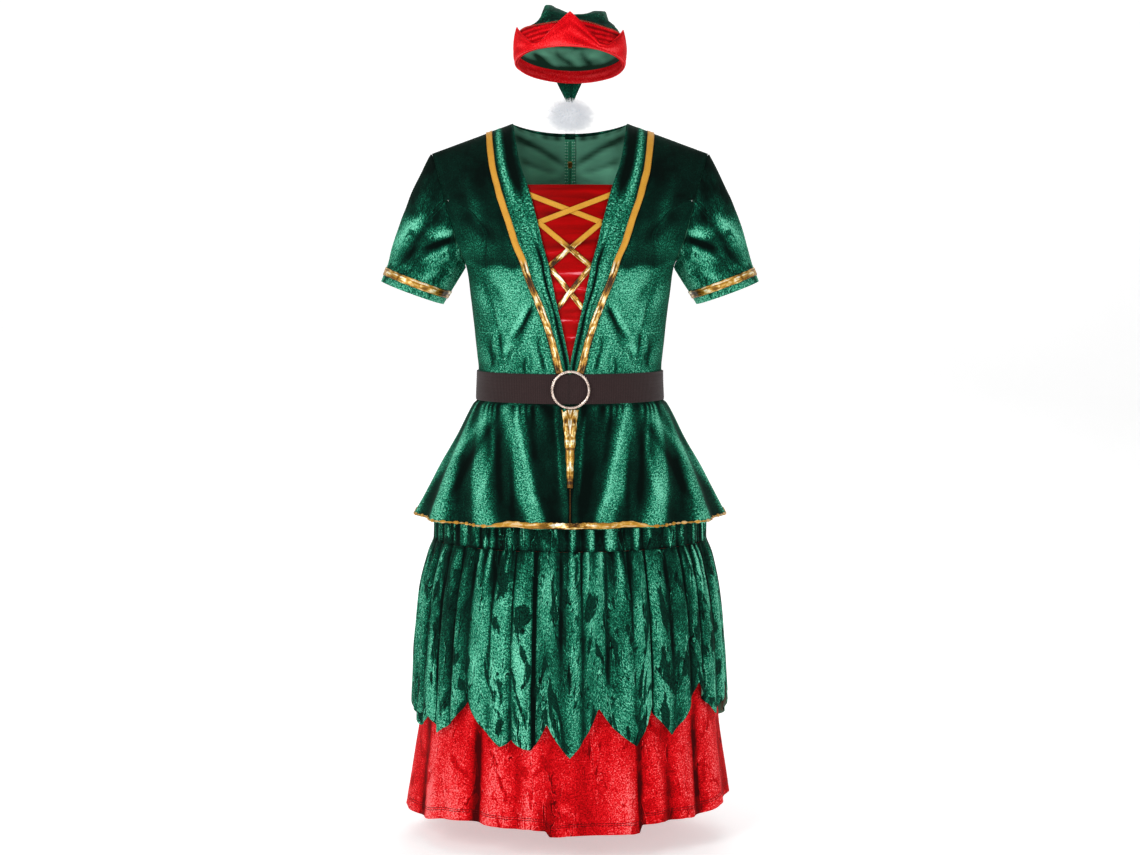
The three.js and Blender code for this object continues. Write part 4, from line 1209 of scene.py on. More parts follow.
# Each leg of a lace is its own shell, and the legs of one lace are joined.
def laceLegs(name, first, lift):
    legs = []
    for i in range(3):
        (z0, clear0), (z1, clear1) = laceTurns[i], laceTurns[i + 1]
        side = first if i % 2 == 0 else -first
        x0 = side * (float(collarEdgeX(z0)) - clear0)
        x1 = -side * (float(collarEdgeX(z1)) - clear1)
        way = 1 if x1 > x0 else -1

        def place(t, c, x0=x0, x1=x1, z0=z0, z1=z1, way=way, i=i):
            share = t if way > 0 else 1 - t
            half = lace["wide"] / 2 / math.hypot(x1 - x0, z1 - z0) * way
            x = mix(x0, x1, share) + c * half * (z0 - z1)
            z = mix(z0, z1, share) + c * half * (x1 - x0)
            p = onFront(x, z)
            p[..., 1] -= lift * np.exp(-((x / 14) ** 4))
            p[..., 1] -= lace["waver"] * (np.sin(t * 19 + i * 2 + first) * 0.5 + 0.5)
            return p

        # The lacing is painted as shining foil below the bust and as matte amber above it.
        base = lace["base"] + (0.25 if i == 1 else 0)
        legs.append(shell(
            f"{name}_{i}", place, steps(0, 1, 60), steps(-1, 1, 6), base, base + lace["thick"],
            [gold], shade=lambda g, u, v: 1 - soft(g[..., 2], -178, -164), painted_light=0, hollowShade=0, tiltShade=0,
            across="v",
        ))
    return joined(name, legs)


for name, first, lift in (("lacing_a", -1, 0), ("lacing_b", 1, lace["thick"] + 0.8)):
    strip = laceLegs(f"{name}_ribbon", first, lift)
    declare(strip, "garment", "gold_ribbon", name)
print("insert and lacing made")


# Sleeves
sleeve = {
    "hemX": 228, "hemZ": -241, "acrossX": 43.5, "acrossZ": 16, "deep": 57,
    # The last value is the base of the sleeve's painted light and shade.
    "ribbonTop": 21.5, "ribbonFoot": 10, "bulge": 6, "painted_light": 0.5,
}


def armholeAt(around):
    row = mix(8, 4, np.abs(around))
    e = 1e-3
    parts = []
    for place in (backAt, frontAt):
        two = np.full_like(row, 2.0)
        p = place(two, row)
        across = p - place(two - e, row)
        up = place(two, np.minimum(8, row + e)) - place(two, np.maximum(4, row - e))
        n = unit(np.cross(across, up))
        parts.append((p, -n if place is backAt else n))
    behind = (around < 0)[..., None]
    return np.where(behind, parts[0][0], parts[1][0]), np.where(behind, parts[0][1], parts[1][1])


def sleeveAt(around, fall):
    around = (around + 1) % 2 - 1
    start, n = armholeAt(around)
    angle = math.pi * around
    reach = np.maximum(0, n[..., 0]) + np.maximum(0, -np.cos(angle)) * 1.1
    start = start + point(cloth["seam"] + 0.1 + cloth["thick"] * reach, 0, 0)
    hem = point(
        sleeve["hemX"] + sleeve["acrossX"] * np.cos(angle),
        -sleeve["deep"] * np.sin(angle),
        sleeve["hemZ"] + sleeve["acrossZ"] * np.cos(angle),
    )
    length = np.linalg.norm(start - hem, axis=-1)
    top = 1 - sleeve["ribbonTop"] / length
    foot = 1 - sleeve["ribbonFoot"] / length
    t = np.where(fall < 1, fall * top, np.where(fall < 2, mix(top, foot, fall - 1), mix(foot, 1, fall - 2)))
    out = np.sin(math.pi * np.minimum(1, t * 1.15)) * sleeve["bulge"] * np.maximum(0, np.cos(angle))
    return mix(start, hem, t[..., None]) + point(out, 0, out * 0.3)


# Folds of the sleeve, as (x, z) from and to, seen from the front; they wrap to the back too.
sleeveCreases = (
    (150, -158, 214, -176, 7, -2.6),
    (154, -150, 232, -146, 9, 2.2),
    (156, -176, 206, -206, 7, 2.2),
    (160, -190, 196, -228, 6, -2.2),
    (176, -120, 236, -126, 10, -1.6),
    (190, -60, 246, -196, 12, 1.6),
    (176, -70, 216, -214, 10, -1.5),
    (206, -148, 262, -206, 8, -1.4),
)


def sleeveRelief(seed):
    base = creases(sleeveCreases)

    def relief(grid, around, fall):
        small = ripple(grid[..., 0] / 14, grid[..., 2] / 18 + grid[..., 1] / 40, seed) * 0.5
        main = base(grid, around, fall) * (0.8 + 0.2 * np.sin(around * 9 + seed))
        hold = soft(fall, 0, 0.16) * (1 - soft(fall, 0.86, 1.0))
        puff = 1.2 * np.sin(around * 26 + seed + 1.5 * np.sin(around * 7)) * bell((fall - 0.05) / 0.12)
        return (main + small) * hold + puff * soft(fall, 0, 0.03) * 0.4

    return relief


# Painted light and shade on the sleeve: darker at the top, brighter towards the outer end and below the
# ribbon, with painted strokes along its folds.
def sleeveShade(grid, around, fall):
    x, z, y = grid[..., 0], grid[..., 2], grid[..., 1]
    total = -0.36 * soft(z, -170, -90) - 0.03
    total = total + 0.26 * soft(x, 218, 250) * (1 - soft(z, -120, -80))
    for x0, z0, x1, z1, wide, deep in sleeveFoldShade:
        total = total + deep * stroke(x, z, x0, z0, x1, z1, wide)
    return total + 0.12 * ripple(x / 22 + y / 40, z / 16, 4.1) + 0.1 * (fall > 2)


# Painted shade and highlight strokes on the sleeve: from, to, width, strength.
sleeveFoldShade = (
    (152, -150, 196, -160, 4.0, 0.4),
    (150, -160, 204, -178, 4.5, -0.4),
    (158, -172, 214, -196, 5.0, 0.34),
    (158, -186, 200, -210, 4.0, -0.34),
    (168, -192, 210, -222, 5.0, 0.3),
    (196, -140, 244, -200, 5.0, -0.24),
    (206, -130, 252, -176, 6.0, 0.28),
    (180, -110, 226, -150, 7.0, 0.14),
    (216, -176, 254, -214, 4.0, -0.3),
)


for side, mirror in (("left", True), ("right", False)):
    seed = 1.4 if mirror else 3.2
    around = np.linspace(-1, 1, 136, endpoint=False)
    falls = [*steps(0, 1, 38), *steps(1, 2, 4)[1:], *steps(2, 3, 4)[1:]]
    tube = shell(
        f"sleeve_tube_{side}", sleeveAt, around, falls, 0, cloth["thick"], [sleeveVelvet, greenBack],
        round=True, mirror=mirror, relief=sleeveRelief(seed), shade=sleeveShade,
        painted_light=sleeve["painted_light"], tiltShade=0.35,
    )
    declare(tube, "garment", "green_velvet", f"sleeve_{side}")
    base = cloth["thick"] + cloth["layer"]
    # The sleeve ribbon is painted mostly as shining foil.
    trim = shell(
        f"sleeve_trim_{side}", sleeveAt, around, steps(1, 2, 7), base, base + cloth["ribbon"],
        [gold], round=True, mirror=mirror, shade=lambda g, u, v: 0.85 + 0.15 * np.sin(u * 9),
        relief=lambda g, u, v: 0.3 * np.sin(u * 61) * np.sin(v * 3) + 0.2 * np.sin(u * 23),
        painted_light=0, hollowShade=0, tiltShade=0, across="v",
    )
    declare(trim, "garment", "gold_ribbon", f"sleeve_ribbon_{side}")
print("sleeves made")


# Belt and its ring
belt = {"top": -353, "foot": -395, "thick": 2, "lift": cloth["thick"] + 0.7}


def roundFigure(angle, z):
    halfWidth = figure["halfWidth"](z)
    depth = np.where(np.cos(angle) > 0, figure["front"](z), figure["back"](z))
    return point(halfWidth * np.sin(angle), -depth * np.cos(angle), z)


def beltRelief(grid, angle, z):
    rib = 0.16 * np.sin(z * 2 * math.pi / 2.6)
    edge = bell((z - belt["top"]) / 1.6) + bell((z - belt["foot"]) / 1.6)
    slack = 0.5 * np.sin(angle * 3 + 1) * np.sin((z - belt["foot"]) / 42 * math.pi)
    return rib - 0.35 * edge + slack * 0.6


strap = shell(
    "belt_strap", roundFigure, np.linspace(0, 2 * math.pi, 220, endpoint=False),
    steps(belt["foot"], belt["top"], 40), belt["lift"], belt["lift"] + belt["thick"],
    [brownElastic], round=True, relief=beltRelief, painted_light=0.4, hollowShade=0.1,
)
declare(strap, "garment", "brown_elastic", "belt")

ring = {"across": 55, "tube": 3.8, "x": 0.7, "z": -375, "wraps": 46, "beads": 52}
ringY = -(float(figure["front"](ring["z"])) + belt["lift"] + belt["thick"] + ring["tube"] / 2 + 0.7)


# A tube round a closed path of points in millimetres.
def tubeMesh(name, path, radius, sides, material, closed=True):
    path = np.asarray(path, float)
    count = len(path)
    ahead = np.roll(path, -1, 0) - np.roll(path, 1, 0) if closed else np.gradient(path, axis=0)
    ahead = unit(ahead)
    up = np.tile([0.0, 1.0, 0.0], (count, 1))
    side = unit(np.cross(ahead, up))
    top = np.cross(side, ahead)
    radius = np.broadcast_to(np.asarray(radius, float), (count,))
    points = []
    for k in range(sides):
        turn = 2 * math.pi * k / sides
        points.append(path + (side * math.cos(turn) + top * math.sin(turn)) * radius[:, None])
    points = np.stack(points, 1).reshape(-1, 3) / 1000
    faces = []
    for i in range(count if closed else count - 1):
        j = (i + 1) % count
        for k in range(sides):
            m = (k + 1) % sides
            faces.append((i * sides + k, j * sides + k, j * sides + m, i * sides + m))
    if not closed:
        faces.append(tuple(range(sides)))
        faces.append(tuple(reversed([(count - 1) * sides + k for k in range(sides)])))
    mesh = bpy.data.meshes.new(name)
    mesh.from_pydata(points.tolist(), [], faces)
    mesh.polygons.foreach_set("use_smooth", [True] * len(faces))
    mesh.materials.append(material)
    piece = bpy.data.objects.new(name, mesh)
    scene.collection.objects.link(piece)
    pieces[name] = piece
    return piece


def makeRing():
    middle = (ring["across"] - ring["tube"]) / 2
    turn = np.linspace(0, 2 * math.pi, 240, endpoint=False)
    parts = []

    def path(radius, lift=0.0):
        return point(ring["x"] + radius * np.sin(turn), ringY + lift, ring["z"] + radius * np.cos(turn))

    sides = np.abs(np.sin(turn)) ** 3
    parts.append(tubeMesh("ring_core", path(middle - 0.3), 1.15 + 0.25 * sides, 12, paleMetal))
    for strand in (0, 1):
        phase = turn * ring["wraps"] / 2 + strand * math.pi
        wide = 0.7 + 0.7 * sides
        curl = path(middle + wide * np.cos(phase) + 0.3 * sides, -wide * np.sin(phase) * 0.8)
        parts.append(tubeMesh(f"ring_rope_{strand}", curl, 0.42 + 0.12 * sides, 7, paleMetal))
    scallop = middle + 1.0 + 0.75 * np.abs(np.sin(turn * ring["beads"] / 2)) * (0.35 + 0.65 * sides)
    scallop = np.minimum(scallop, ring["across"] / 2 - 0.35)
    parts.append(tubeMesh("ring_edge", path(scallop), 0.36, 6, paleMetal))
    parts.append(tubeMesh("ring_lip", path(middle - 1.35), 0.4, 6, paleMetal))
    whole = joined("ring_filigree", parts)
    declare(whole, "garment", "pale_metal", "belt_ring")


makeRing()
print("belt and ring made")


# Folds go round as ridges at whole numbers of u and troughs between them.
class Folds:
    def __init__(self, wides, start=-90.0, **columns):
        self.ridges = np.radians(np.concatenate([[0], np.cumsum(wides)]) + start)
        self.columns = {key: np.array(value, float) for key, value in columns.items()}
        self.count = len(wides)

    def parts(self, u):
        i = np.clip(np.floor(u).astype(int), 0, self.count - 1)
        return i, u - i

    def angle(self, u):
        i, f = self.parts(u)
        return mix(self.ridges[i], self.ridges[i + 1], f)

    def share(self, u):
        i, f = self.parts(u)
        base = (1 - np.cos(2 * math.pi * f)) / 2
        sharp = self.columns["sharp"][i] if "sharp" in self.columns else 1.0
        return base**sharp

    # A column of the table: each fold has its own value.
    def value(self, name, u):
        i, _ = self.parts(u)
        return self.columns[name][i]


def oval(halfWidth, depth, angle, z, inward):
    p = point(halfWidth * np.sin(angle), -depth * np.cos(angle), z)
    flat = unit(point(p[..., 0], p[..., 1], 0))
    return p - flat * np.asarray(inward)[..., None]


# Peplum
peplumShape = table(
    ("halfWidth", "front", "back"),
    (-372.3, 131.7, 98.6, 89.2),
    (-395, 132.6, 99, 90),
    (-403, 139, 101.4, 93),
    (-450, 164, 119, 116),
    (-510, 198, 144, 143),
    (-564, 226, 166, 165),
)
# The first value is the base of the peplum's painted light and shade.
peplum = {"painted_light": 0.56, "low": -564, "high": -372.3, "ribbonTop": -553, "gather": 0.9}
peplumRows = (
    (15, 32, 12), (14, 27, 13), (24, 21, 12), (37, 10, 5), (37, 10, 5), (24, 21, 12), (14, 27, 13),
    (15, 32, 12), (24, 28, 11), (28, 24, 12), (38, 38, 9), (38, 38, 9), (28, 24, 12), (24, 28, 11),
)
peplumHead = Folds([r[0] for r in peplumRows])
peplumHem = Folds([r[1] for r in peplumRows], deep=[r[2] for r in peplumRows])


def peplumAt(u, z):
    fall = clamp((z + 400) / (-564 + 400))
    angle = mix(peplumHead.angle(u), peplumHem.angle(u), fall**0.9)
    inward = peplumHem.share(u) * peplumHem.value("deep", u) * fall**1.1
    depth = np.where(np.cos(angle) > 0, peplumShape["front"](z), peplumShape["back"](z))
    return oval(peplumShape["halfWidth"](z), depth, angle, z, inward)


def peplumRelief(seed):
    def relief(grid, u, z):
        fall = clamp((z + 396) / (-564 + 396))
        angle = peplumHead.angle(u)
        pinch = np.sin(angle * 21 + 2.2 * np.sin(angle * 5 + seed))
        pinch = pinch * (0.6 + 0.4 * np.sin(angle * 3.1 + seed))
        gather = pinch * 1.5 * bell(fall / 0.2) * soft(-z, 395, 404)
        long = np.sin(angle * 11 + seed + fall * 1.2) * 1.1 * fall * (1 - fall * 0.4)
        small = ripple(grid[..., 0] / 16, grid[..., 2] / 30 + grid[..., 1] / 26, seed)
        small = small * 0.7 * soft(fall, 0.02, 0.3)
        return (gather + long + small) * peplum["gather"] * soft(-z, 395, 400) * (1 - soft(-z, 540, 553))

    return relief


# Painted light and shade: ridges of the fan folds painted bright, the hollows between them and the centre
# front painted dark, and the gathers at the head painted in bright and dark lines.
def peplumShade(grid, u, z):
    fall = clamp((z + 396) / (-564 + 396))
    share = peplumHem.share(u)
    amount = mix(0.55, 1.0, fall)
    middle = bell(grid[..., 0] / 44) * (grid[..., 1] < 0)
    ridge = 0.2 * bell(share / mix(0.12, 0.28, fall)) * (1 - 0.9 * middle)
    x, z = np.abs(grid[..., 0]), grid[..., 2]
    total = amount * (ridge - 0.27 * soft(share, 0.12, 0.7)) - 0.26 * middle
    ahead = grid[..., 1] < 0
    for x0, z0, x1, z1, wide, deep in peplumFoldShade:
        total = total + ahead * deep * stroke(x, z, x0, z0, x1, z1, wide)
    head = bell(fall / 0.12) * soft(-z, 396, 402)
    return total + 0.3 * head * np.sin(peplumHead.angle(u) * 58 + 3 * np.sin(peplumHead.angle(u) * 13))


# Painted shade and highlight strokes on the peplum's front, the same on both halves: from, to, width,
# strength.
peplumFoldShade = (
    (112, -408, 204, -520, 6.0, 0.3),
    (106, -420, 176, -540, 5.0, -0.3),
    (108, -414, 110, -478, 4.0, 0.3),
    (110, -470, 128, -532, 6.0, 0.26),
    (100, -430, 98, -540, 5.0, -0.26),
    (76, -404, 66, -470, 3.6, 0.34),
    (66, -462, 48, -530, 5.0, 0.3),
    (52, -520, 36, -556, 5.0, 0.2),
    (60, -410, 46, -480, 5.0, -0.24),
    (22, -410, 10, -520, 2.0, 0.3),
    (2, -500, 1, -562, 1.6, -0.6),
    (84, -440, 78, -556, 4.0, -0.22),
    (150, -470, 160, -545, 5.0, -0.2),
)


def ends(low, high, wides, count):
    out = steps(low, high, count)
    out[0] += 0.04 / wides[int(low)]
    out[-1] -= 0.04 / wides[int(math.ceil(high)) - 1]
    return out


peplumWides = [r[0] for r in peplumRows]
peplumLevels = [
    *steps(-564, -553, 6), *steps(-553, -404, 46)[1:], *steps(-404, -395, 4)[1:],
    *steps(-395, -372.3, 4)[1:],
]
for name, low, high, count in (("front_left", 0, 4, 150), ("front_right", 4, 8, 150), ("back", 8, 14, 170)):
    part = shell(
        f"peplum_cloth_{name}", peplumAt, ends(low, high, peplumWides, count), peplumLevels, 0,
        cloth["thick"], velvetPair, relief=peplumRelief(2.0), shade=peplumShade, painted_light=peplum["painted_light"],
        hollowShade=0.05, tiltShade=0.2, reach=(10, 8), reliefLight=0.07,
    )
    declare(part, "garment", "green_velvet", f"peplum_{name}")
base = cloth["thick"] + cloth["seam"]


# The hem ribbon turns under towards the sides, so that only its edge shows there.
def hemRibbonAt(u, z):
    x = np.abs(peplumAt(u, np.full_like(z, -560.0))[..., 0])
    keep = (1 - 0.8 * soft(x, 78, 122) * (peplumAt(u, z)[..., 1] < 0)) * 0.76
    return peplumAt(u, -563.6 + (z + 563.6) * keep)


# The hem ribbon is painted as shining foil towards the centre front and as matte amber at the sides.
for name, low, high, count in (("front", 0, 8, 300), ("back", 8, 14, 230)):
    trim = shell(
        f"peplum_trim_{name}", hemRibbonAt, ends(low, high, peplumWides, count), steps(-563.6, -553, 7),
        base, base + cloth["ribbon"], [gold], painted_light=0, hollowShade=0, tiltShade=0, across="v",
        relief=lambda g, u, v: 0.3 * np.sin(u * 31) * np.sin(v * 0.6),
        shade=lambda g, u, v: 0.25 + 0.75 * bell(g[..., 0] / 50),
    )
    declare(trim, "garment", "gold_ribbon", f"peplum_ribbon_{name}")


def frontRibbonAt(c, z):
    fall = clamp((z + 404) / (-509 + 404))
    reach = 0.2 + c * mix(12.6, 0.5, fall**0.62)
    near, far = peplumAt(np.full_like(z, 4.0), z), peplumAt(np.full_like(z, 4.25), z)
    span = np.linalg.norm(near - far, axis=-1)
    return mix(near, far, (reach / span)[..., None])


for side, mirror in (("left", True), ("right", False)):
    base = cloth["thick"] + cloth["layer"]
    # The tongue ribbon is painted as shining foil.
    strip = shell(
        f"front_fold_{side}", frontRibbonAt, steps(0, 1, 8), steps(-509, -404, 90), base,
        base + cloth["ribbon"], [gold], mirror=mirror, painted_light=0.9, hollowShade=0, tiltShade=0, across="u",
        relief=lambda g, c, z: (
            1.5 * bell((c - 0.6) / 0.35) * soft(-z, 406, 430) + 0.35 * np.sin(z / 3.1 + c * 4)
        ),
    )
    declare(strip, "garment", "gold_ribbon", f"front_ribbon_{side}")
print("peplum made")


# Skirt: casing, overskirt with the zigzag hem, and underskirt
skirt = {
    "seam": -598.8, "overTop": -598.1, "underTop": -601.8,
    # The overskirt and underskirt levels are the base of their painted light and shade.
    "gathers": 40, "overPaintedLight": 0.5, "underPaintedLight": 0.58,
}
deepGathers = (1, 3, 8, 13, 16, 18, 22, 25, 29, 32, 34, 38)


def gatherFolds():
    every = range(skirt["gathers"])
    wide = [1 + 0.3 * math.sin(i * 2.3 + 0.6) + 0.14 * math.sin(i * 4.1) for i in every]
    deep = [8.5 if i in deepGathers else 3.4 + 1.2 * math.sin(i * 1.9) for i in every]
    head = [4.6 + 1.2 * math.sin(i * 3.3 + 1) for i in every]
    run = [1.3 if i in deepGathers and i % 4 != 3 else 0.12 + 0.7 * (i * 0.618 % 1) for i in every]
    middle = skirt["gathers"] // 2
    for half in (0, middle):
        total = sum(wide[half:half + middle])
        wide[half:half + middle] = [w * 180 / total for w in wide[half:half + middle]]
    sharp = [2.6 if d > 8 else 1.7 for d in deep]
    return wide, Folds(wide, deep=deep, head=head, run=run, sharp=sharp)


gatherWides, gathers = gatherFolds()
casingShape = table(("halfWidth", "depth"), (-598, 196.5, 144), (-560, 195.5, 142.5), (-528, 193, 139.5))
overShape = table(
    ("halfWidth", "depth"),
    (-598.8, 197.6, 145), (-622, 207, 151), (-680, 219, 159),
    (-780, 228, 166), (-850, 231, 169), (-890, 232, 170),
)
underShape = table(
    ("halfWidth", "depth"),
    (-598.8, 195, 142.4), (-640, 202, 146), (-700, 207.5, 149), (-800, 213, 153),
    (-860, 217, 157), (-900, 223, 162), (-950, 231, 168), (-1000, 239, 175),
)
hemPoints = (
    (-90, -838), (-78, -845), (-68, -860.5), (-61, -842), (-55, -864), (-39, -810), (-25, -870),
    (-21, -858.5), (-14.5, -874), (-8, -834), (0, -882.6), (10, -812), (24, -869.5), (29.6, -811),
    (39, -859), (53, -789),
    (65, -842), (78, -803), (90, -838), (103, -868), (117, -822), (132, -872), (146, -818), (160, -876),
    (172, -826), (184, -880), (197, -822), (211, -874), (224, -820), (238, -870), (252, -824), (262, -862),
    (270, -838),
)


def casingAt(u, z):
    halfWidth, depth = casingShape["halfWidth"](z), casingShape["depth"](z)
    return oval(halfWidth, depth, gathers.angle(u), z, gathers.share(u) * 2.2)


def casingRelief(grid, u, z):
    across = gathers.angle(u)
    puff = np.sin(across * 47 + 2 * np.sin(across * 9)) * (0.5 + 0.5 * np.sin(across * 5.3))
    mid = np.sin(math.pi * clamp((z + 598) / 70))
    small = ripple(across * 9, z / 12, 3.3) * 0.4
    return (puff * 0.9 + small) * mid


# Painted light and shade on the casing: bright and dark lines across the gathers, and a painted dark line
# along its lower seam.
def casingShade(grid, u, z):
    across = gathers.angle(u)
    lines = np.sin(across * 72 + 3.2 * np.sin(across * 11)) * (0.7 + 0.3 * np.sin(across * 6.1))
    return 0.42 * soft(lines, 0.35, 0.9) - 0.3 * soft(-lines, 0.1, 0.8) - 0.3 * bell((z + 598) / 4)


for name, low, high in (("front", 0, 20), ("back", 20, 40)):
    part = shell(
        f"casing_cloth_{name}", casingAt, ends(low, high, gatherWides, 300), steps(-598, -528, 14), 0, 2.6,
        crushedPair, relief=casingRelief, shade=casingShade, painted_light=0.28, hollowShade=0.2, reach=(8, 3), reliefLight=0.14,
    )
    declare(part, "garment", "green_velvet", f"skirt_casing_{name}")


# Each point of the hem is a leaf: its sides bow outwards from the tip to the notch.
def hemLevel(angle):
    turns, levels = (np.array(column, float) for column in zip(*hemPoints))
    at = np.degrees(angle)
    i = np.clip(np.searchsorted(turns, at) - 1, 0, len(turns) - 2)
    t = clamp((at - turns[i]) / (turns[i + 1] - turns[i]))
    up = levels[i + 1] > levels[i]
    t = np.where(up, t, 1 - t)
    t = 0.66 * t + 0.34 * t**3
    low, high = np.minimum(levels[i], levels[i + 1]), np.maximum(levels[i], levels[i + 1])
    return mix(low, high, t)


def overskirtAt(u, rise):
    angle = gathers.angle(u)
    z = mix(hemLevel(angle), skirt["overTop"], rise)
    head = clamp((skirt["seam"] - z) / 26)
    fall = clamp((skirt["seam"] - z) / 270)
    depth = mix(gathers.value("head", u), gathers.value("deep", u), fall)
    inward = gathers.share(u) * (0.35 + head * depth)
    return oval(overShape["halfWidth"](z), overShape["depth"](z), angle, z, inward)


def overskirtRelief(grid, u, rise):
    angle = gathers.angle(u)
    drop = (skirt["seam"] - grid[..., 2]) / 270
    fine = np.sin(angle * 63 + 2.6 * np.sin(angle * 11)) * (0.5 + 0.5 * np.sin(angle * 6.3 + 1))
    gather = fine * 1.3 * bell((drop - 0.06) / 0.16)
    long = ripple(angle * 17, drop * 2.2, 1.2) * 1.6 * soft(drop, 0.04, 0.3)
    small = ripple(angle * 30, drop * 11, 2.4) * 0.7 * soft(drop, 0.05, 0.2)
    return (gather + long + small) * soft(drop, 0, 0.03)


# Painted light and shade on the overskirt: dark troughs in the folds that fade out at each fold's own
# depth, a painted highlight beside the deep ones, bright and dark lines across the gathers at the top, and
# slightly brighter lower down.
def skirtShade(grid, u, rise):
    angle = gathers.angle(u)
    drop = (skirt["seam"] - grid[..., 2]) / 270
    share = gathers.share(u)
    deepOnes = soft(gathers.value("deep", u), 5, 8)
    trough = -0.85 * bell((1 - share) / mix(0.08, 0.14, deepOnes)) * mix(0.5, 1.0, deepOnes)
    run = gathers.value("run", u)
    trough = trough * (1 - 0.85 * soft(drop, run - 0.1, run + 0.12))
    beside = 0.16 * bell((share - 0.45) / 0.16) * deepOnes
    head = bell(drop / 0.16)
    lines = np.sin(angle * 88 + 3.4 * np.sin(angle * 13)) * (0.6 + 0.4 * np.sin(angle * 7.7))
    top = head * (0.5 * soft(lines, 0.45, 0.9) - 0.34 * soft(-lines, 0.2, 0.8) - 0.12)
    return ripple(angle * 9, drop * 2.0, 4.4) * 0.12 + 0.05 * soft(drop, 0.4, 1.0) + trough + beside + top


for name, low, high in (("front", 0, 20), ("back", 20, 40)):
    part = shell(
        f"overskirt_cloth_{name}", overskirtAt, ends(low, high, gatherWides, 360), steps(0, 1, 46), 0,
        cloth["thick"], crushedPair, relief=overskirtRelief, shade=skirtShade, painted_light=skirt["overPaintedLight"],
        hollowShade=0.07, tiltShade=0.2, reach=(11, 5), reliefLight=0.08,
    )
    declare(part, "garment", "green_velvet", f"overskirt_{name}")

underRows = (
    (41, 13, 3, 2), (24, 16, 0, 1.6), (11, 8, 2, 1), (13, 9, 4, 1), (21, 4, 0, 1), (13, 13, 3, 1),
    (11, 9, 1, 1), (22, 15, 4, 1.6), (24, 8, 0, 1.4), (19, 10, 3, 1), (26, 14, 1, 1.6), (15, 8, 4, 1),
    (21, 13, 2, 1.4), (24, 6, 0, 1), (17, 13, 3, 1), (23, 15, 2, 1.6), (14, 8, 4, 1), (21, 12, 1, 1.4),
)
underWides = [r[0] for r in underRows]
underFolds = Folds(
    underWides, deep=[r[1] for r in underRows], drop=[r[2] for r in underRows],
    sharp=[r[3] for r in underRows],
)


# The level of the hem round the body, with the two steps where a fold lies over the next.
underHem = Line(
    (-90, -994), (-60, -989), (-48, -983), (-9, -983), (-7, -991), (25.5, -991), (27.5, -980), (50, -979),
    (70, -975), (90, -971), (180, -988), (270, -994),
)


def underskirtAt(u, rise):
    angle = underFolds.angle(u)
    _, f = underFolds.parts(u)
    hem = underHem(np.degrees(angle)) - underFolds.value("drop", u) * np.sin(math.pi * f)
    z = mix(hem, skirt["underTop"], rise)
    fall = clamp((-820 - z) / 170)
    inward = underFolds.share(u) * underFolds.value("deep", u) * fall**0.9
    return oval(underShape["halfWidth"](z), underShape["depth"](z), angle, z, inward)


def underskirtRelief(grid, u, rise):
    angle = underFolds.angle(u)
    z = grid[..., 2]
    long = ripple(angle * 12, z / 130, 5.1) * 1.7
    small = ripple(angle * 26, z / 34, 2.9) * 0.6
    hem = -0.5 * bell((z + 984) / 1.6)
    return (long + small) * soft(-z, 640, 800) + hem


# Painted shade in the troughs of the deep folds low on the underskirt.
def underShade(grid, u, rise):
    angle = underFolds.angle(u)
    share = underFolds.share(u)
    low = soft(-grid[..., 2], 780, 880)
    trough = -0.5 * bell((1 - share) / 0.1) * soft(underFolds.value("deep", u), 7, 15) * low
    return ripple(angle * 8, grid[..., 2] / 90, 6.4) * 0.1 + trough


for name, low, high in (("front", 0, 9), ("back", 9, 18)):
    part = shell(
        f"underskirt_cloth_{name}", underskirtAt, ends(low, high, underWides, 250), steps(0, 1, 44), 0,
        cloth["thick"], [redVelvet, redBack], relief=underskirtRelief, shade=underShade,
        painted_light=skirt["underPaintedLight"], hollowShade=0.06, tiltShade=0.1, reach=(11, 4),
    )
    declare(part, "garment", "red_velvet", f"underskirt_{name}")
print("skirt made")


# Zip: the tape on the inside of the back, with the slider's inner plate
zipper = {
    "halfWidth": 7.5, "clothTop": 7.84,
    "sliderAt": -52.5, "sliderWide": 7.4, "sliderTall": 9.6, "sliderThick": 1.6,
}


def tapeAt(x, row):
    zero, third = np.zeros_like(row), np.full_like(row, 1 / 3)
    near, far = backAt(zero, row), backAt(third, row)
    share = (np.abs(x) - zipHalfGap) / (far[..., 0] - near[..., 0])
    p = mix(near, far, share[..., None])
    top = 1.6 * soft(row, 7.88, 8)
    return point(x, np.where(np.abs(x) < zipHalfGap, near[..., 1], p[..., 1]), p[..., 2] + top)


zipRows = fineRows(0.79, 8, 22)
tape = shell(
    "zip_tape_cloth", tapeAt,
    [*steps(-zipper["halfWidth"], -3, 6), *steps(-3, 3, 4)[1:], *steps(3, zipper["halfWidth"], 6)[1:]],
    zipRows, -(cloth["seam"] + 1.4), -(cloth["seam"] + 0.4), [zipCloth], turned=True,
    relief=lambda g, x, r: -0.3 * bell((np.abs(x) - 6) / 1.2) * (0.5 + 0.5 * np.sin(r * 60)), painted_light=0.5,
)
declare(tape, "garment", "zip_tape", "zip_tape")
# The velvet neck band folds in over the top of the tape.
tape.data.materials.append(greenVelvet)
bandLow = float(backAt(np.zeros(1), np.full(1, zipper["clothTop"]))[0, 2]) / 1000
for face in tape.data.polygons:
    if face.center.z > bandLow:
        face.material_index = 1


for node in ("zip_slider", "zip_pull"):
    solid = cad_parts[node]
    for slot in solid.material_slots:
        slot.material = brass
print("zip tape made")


# Hat
hatRim = {"halfWidth": 75, "halfDepth": 86, "middle": 85, "front": 18.5, "roll": 2, "bulge": 0.03}
hat = {
    "bandHeight": 36, "cuffLow": 10, "cuffHigh": 48, "sideDrop": 5, "cuffPoints": 5,
    "peakAt": 43, "peakWide": 5, "peakLean": 0.215,
}


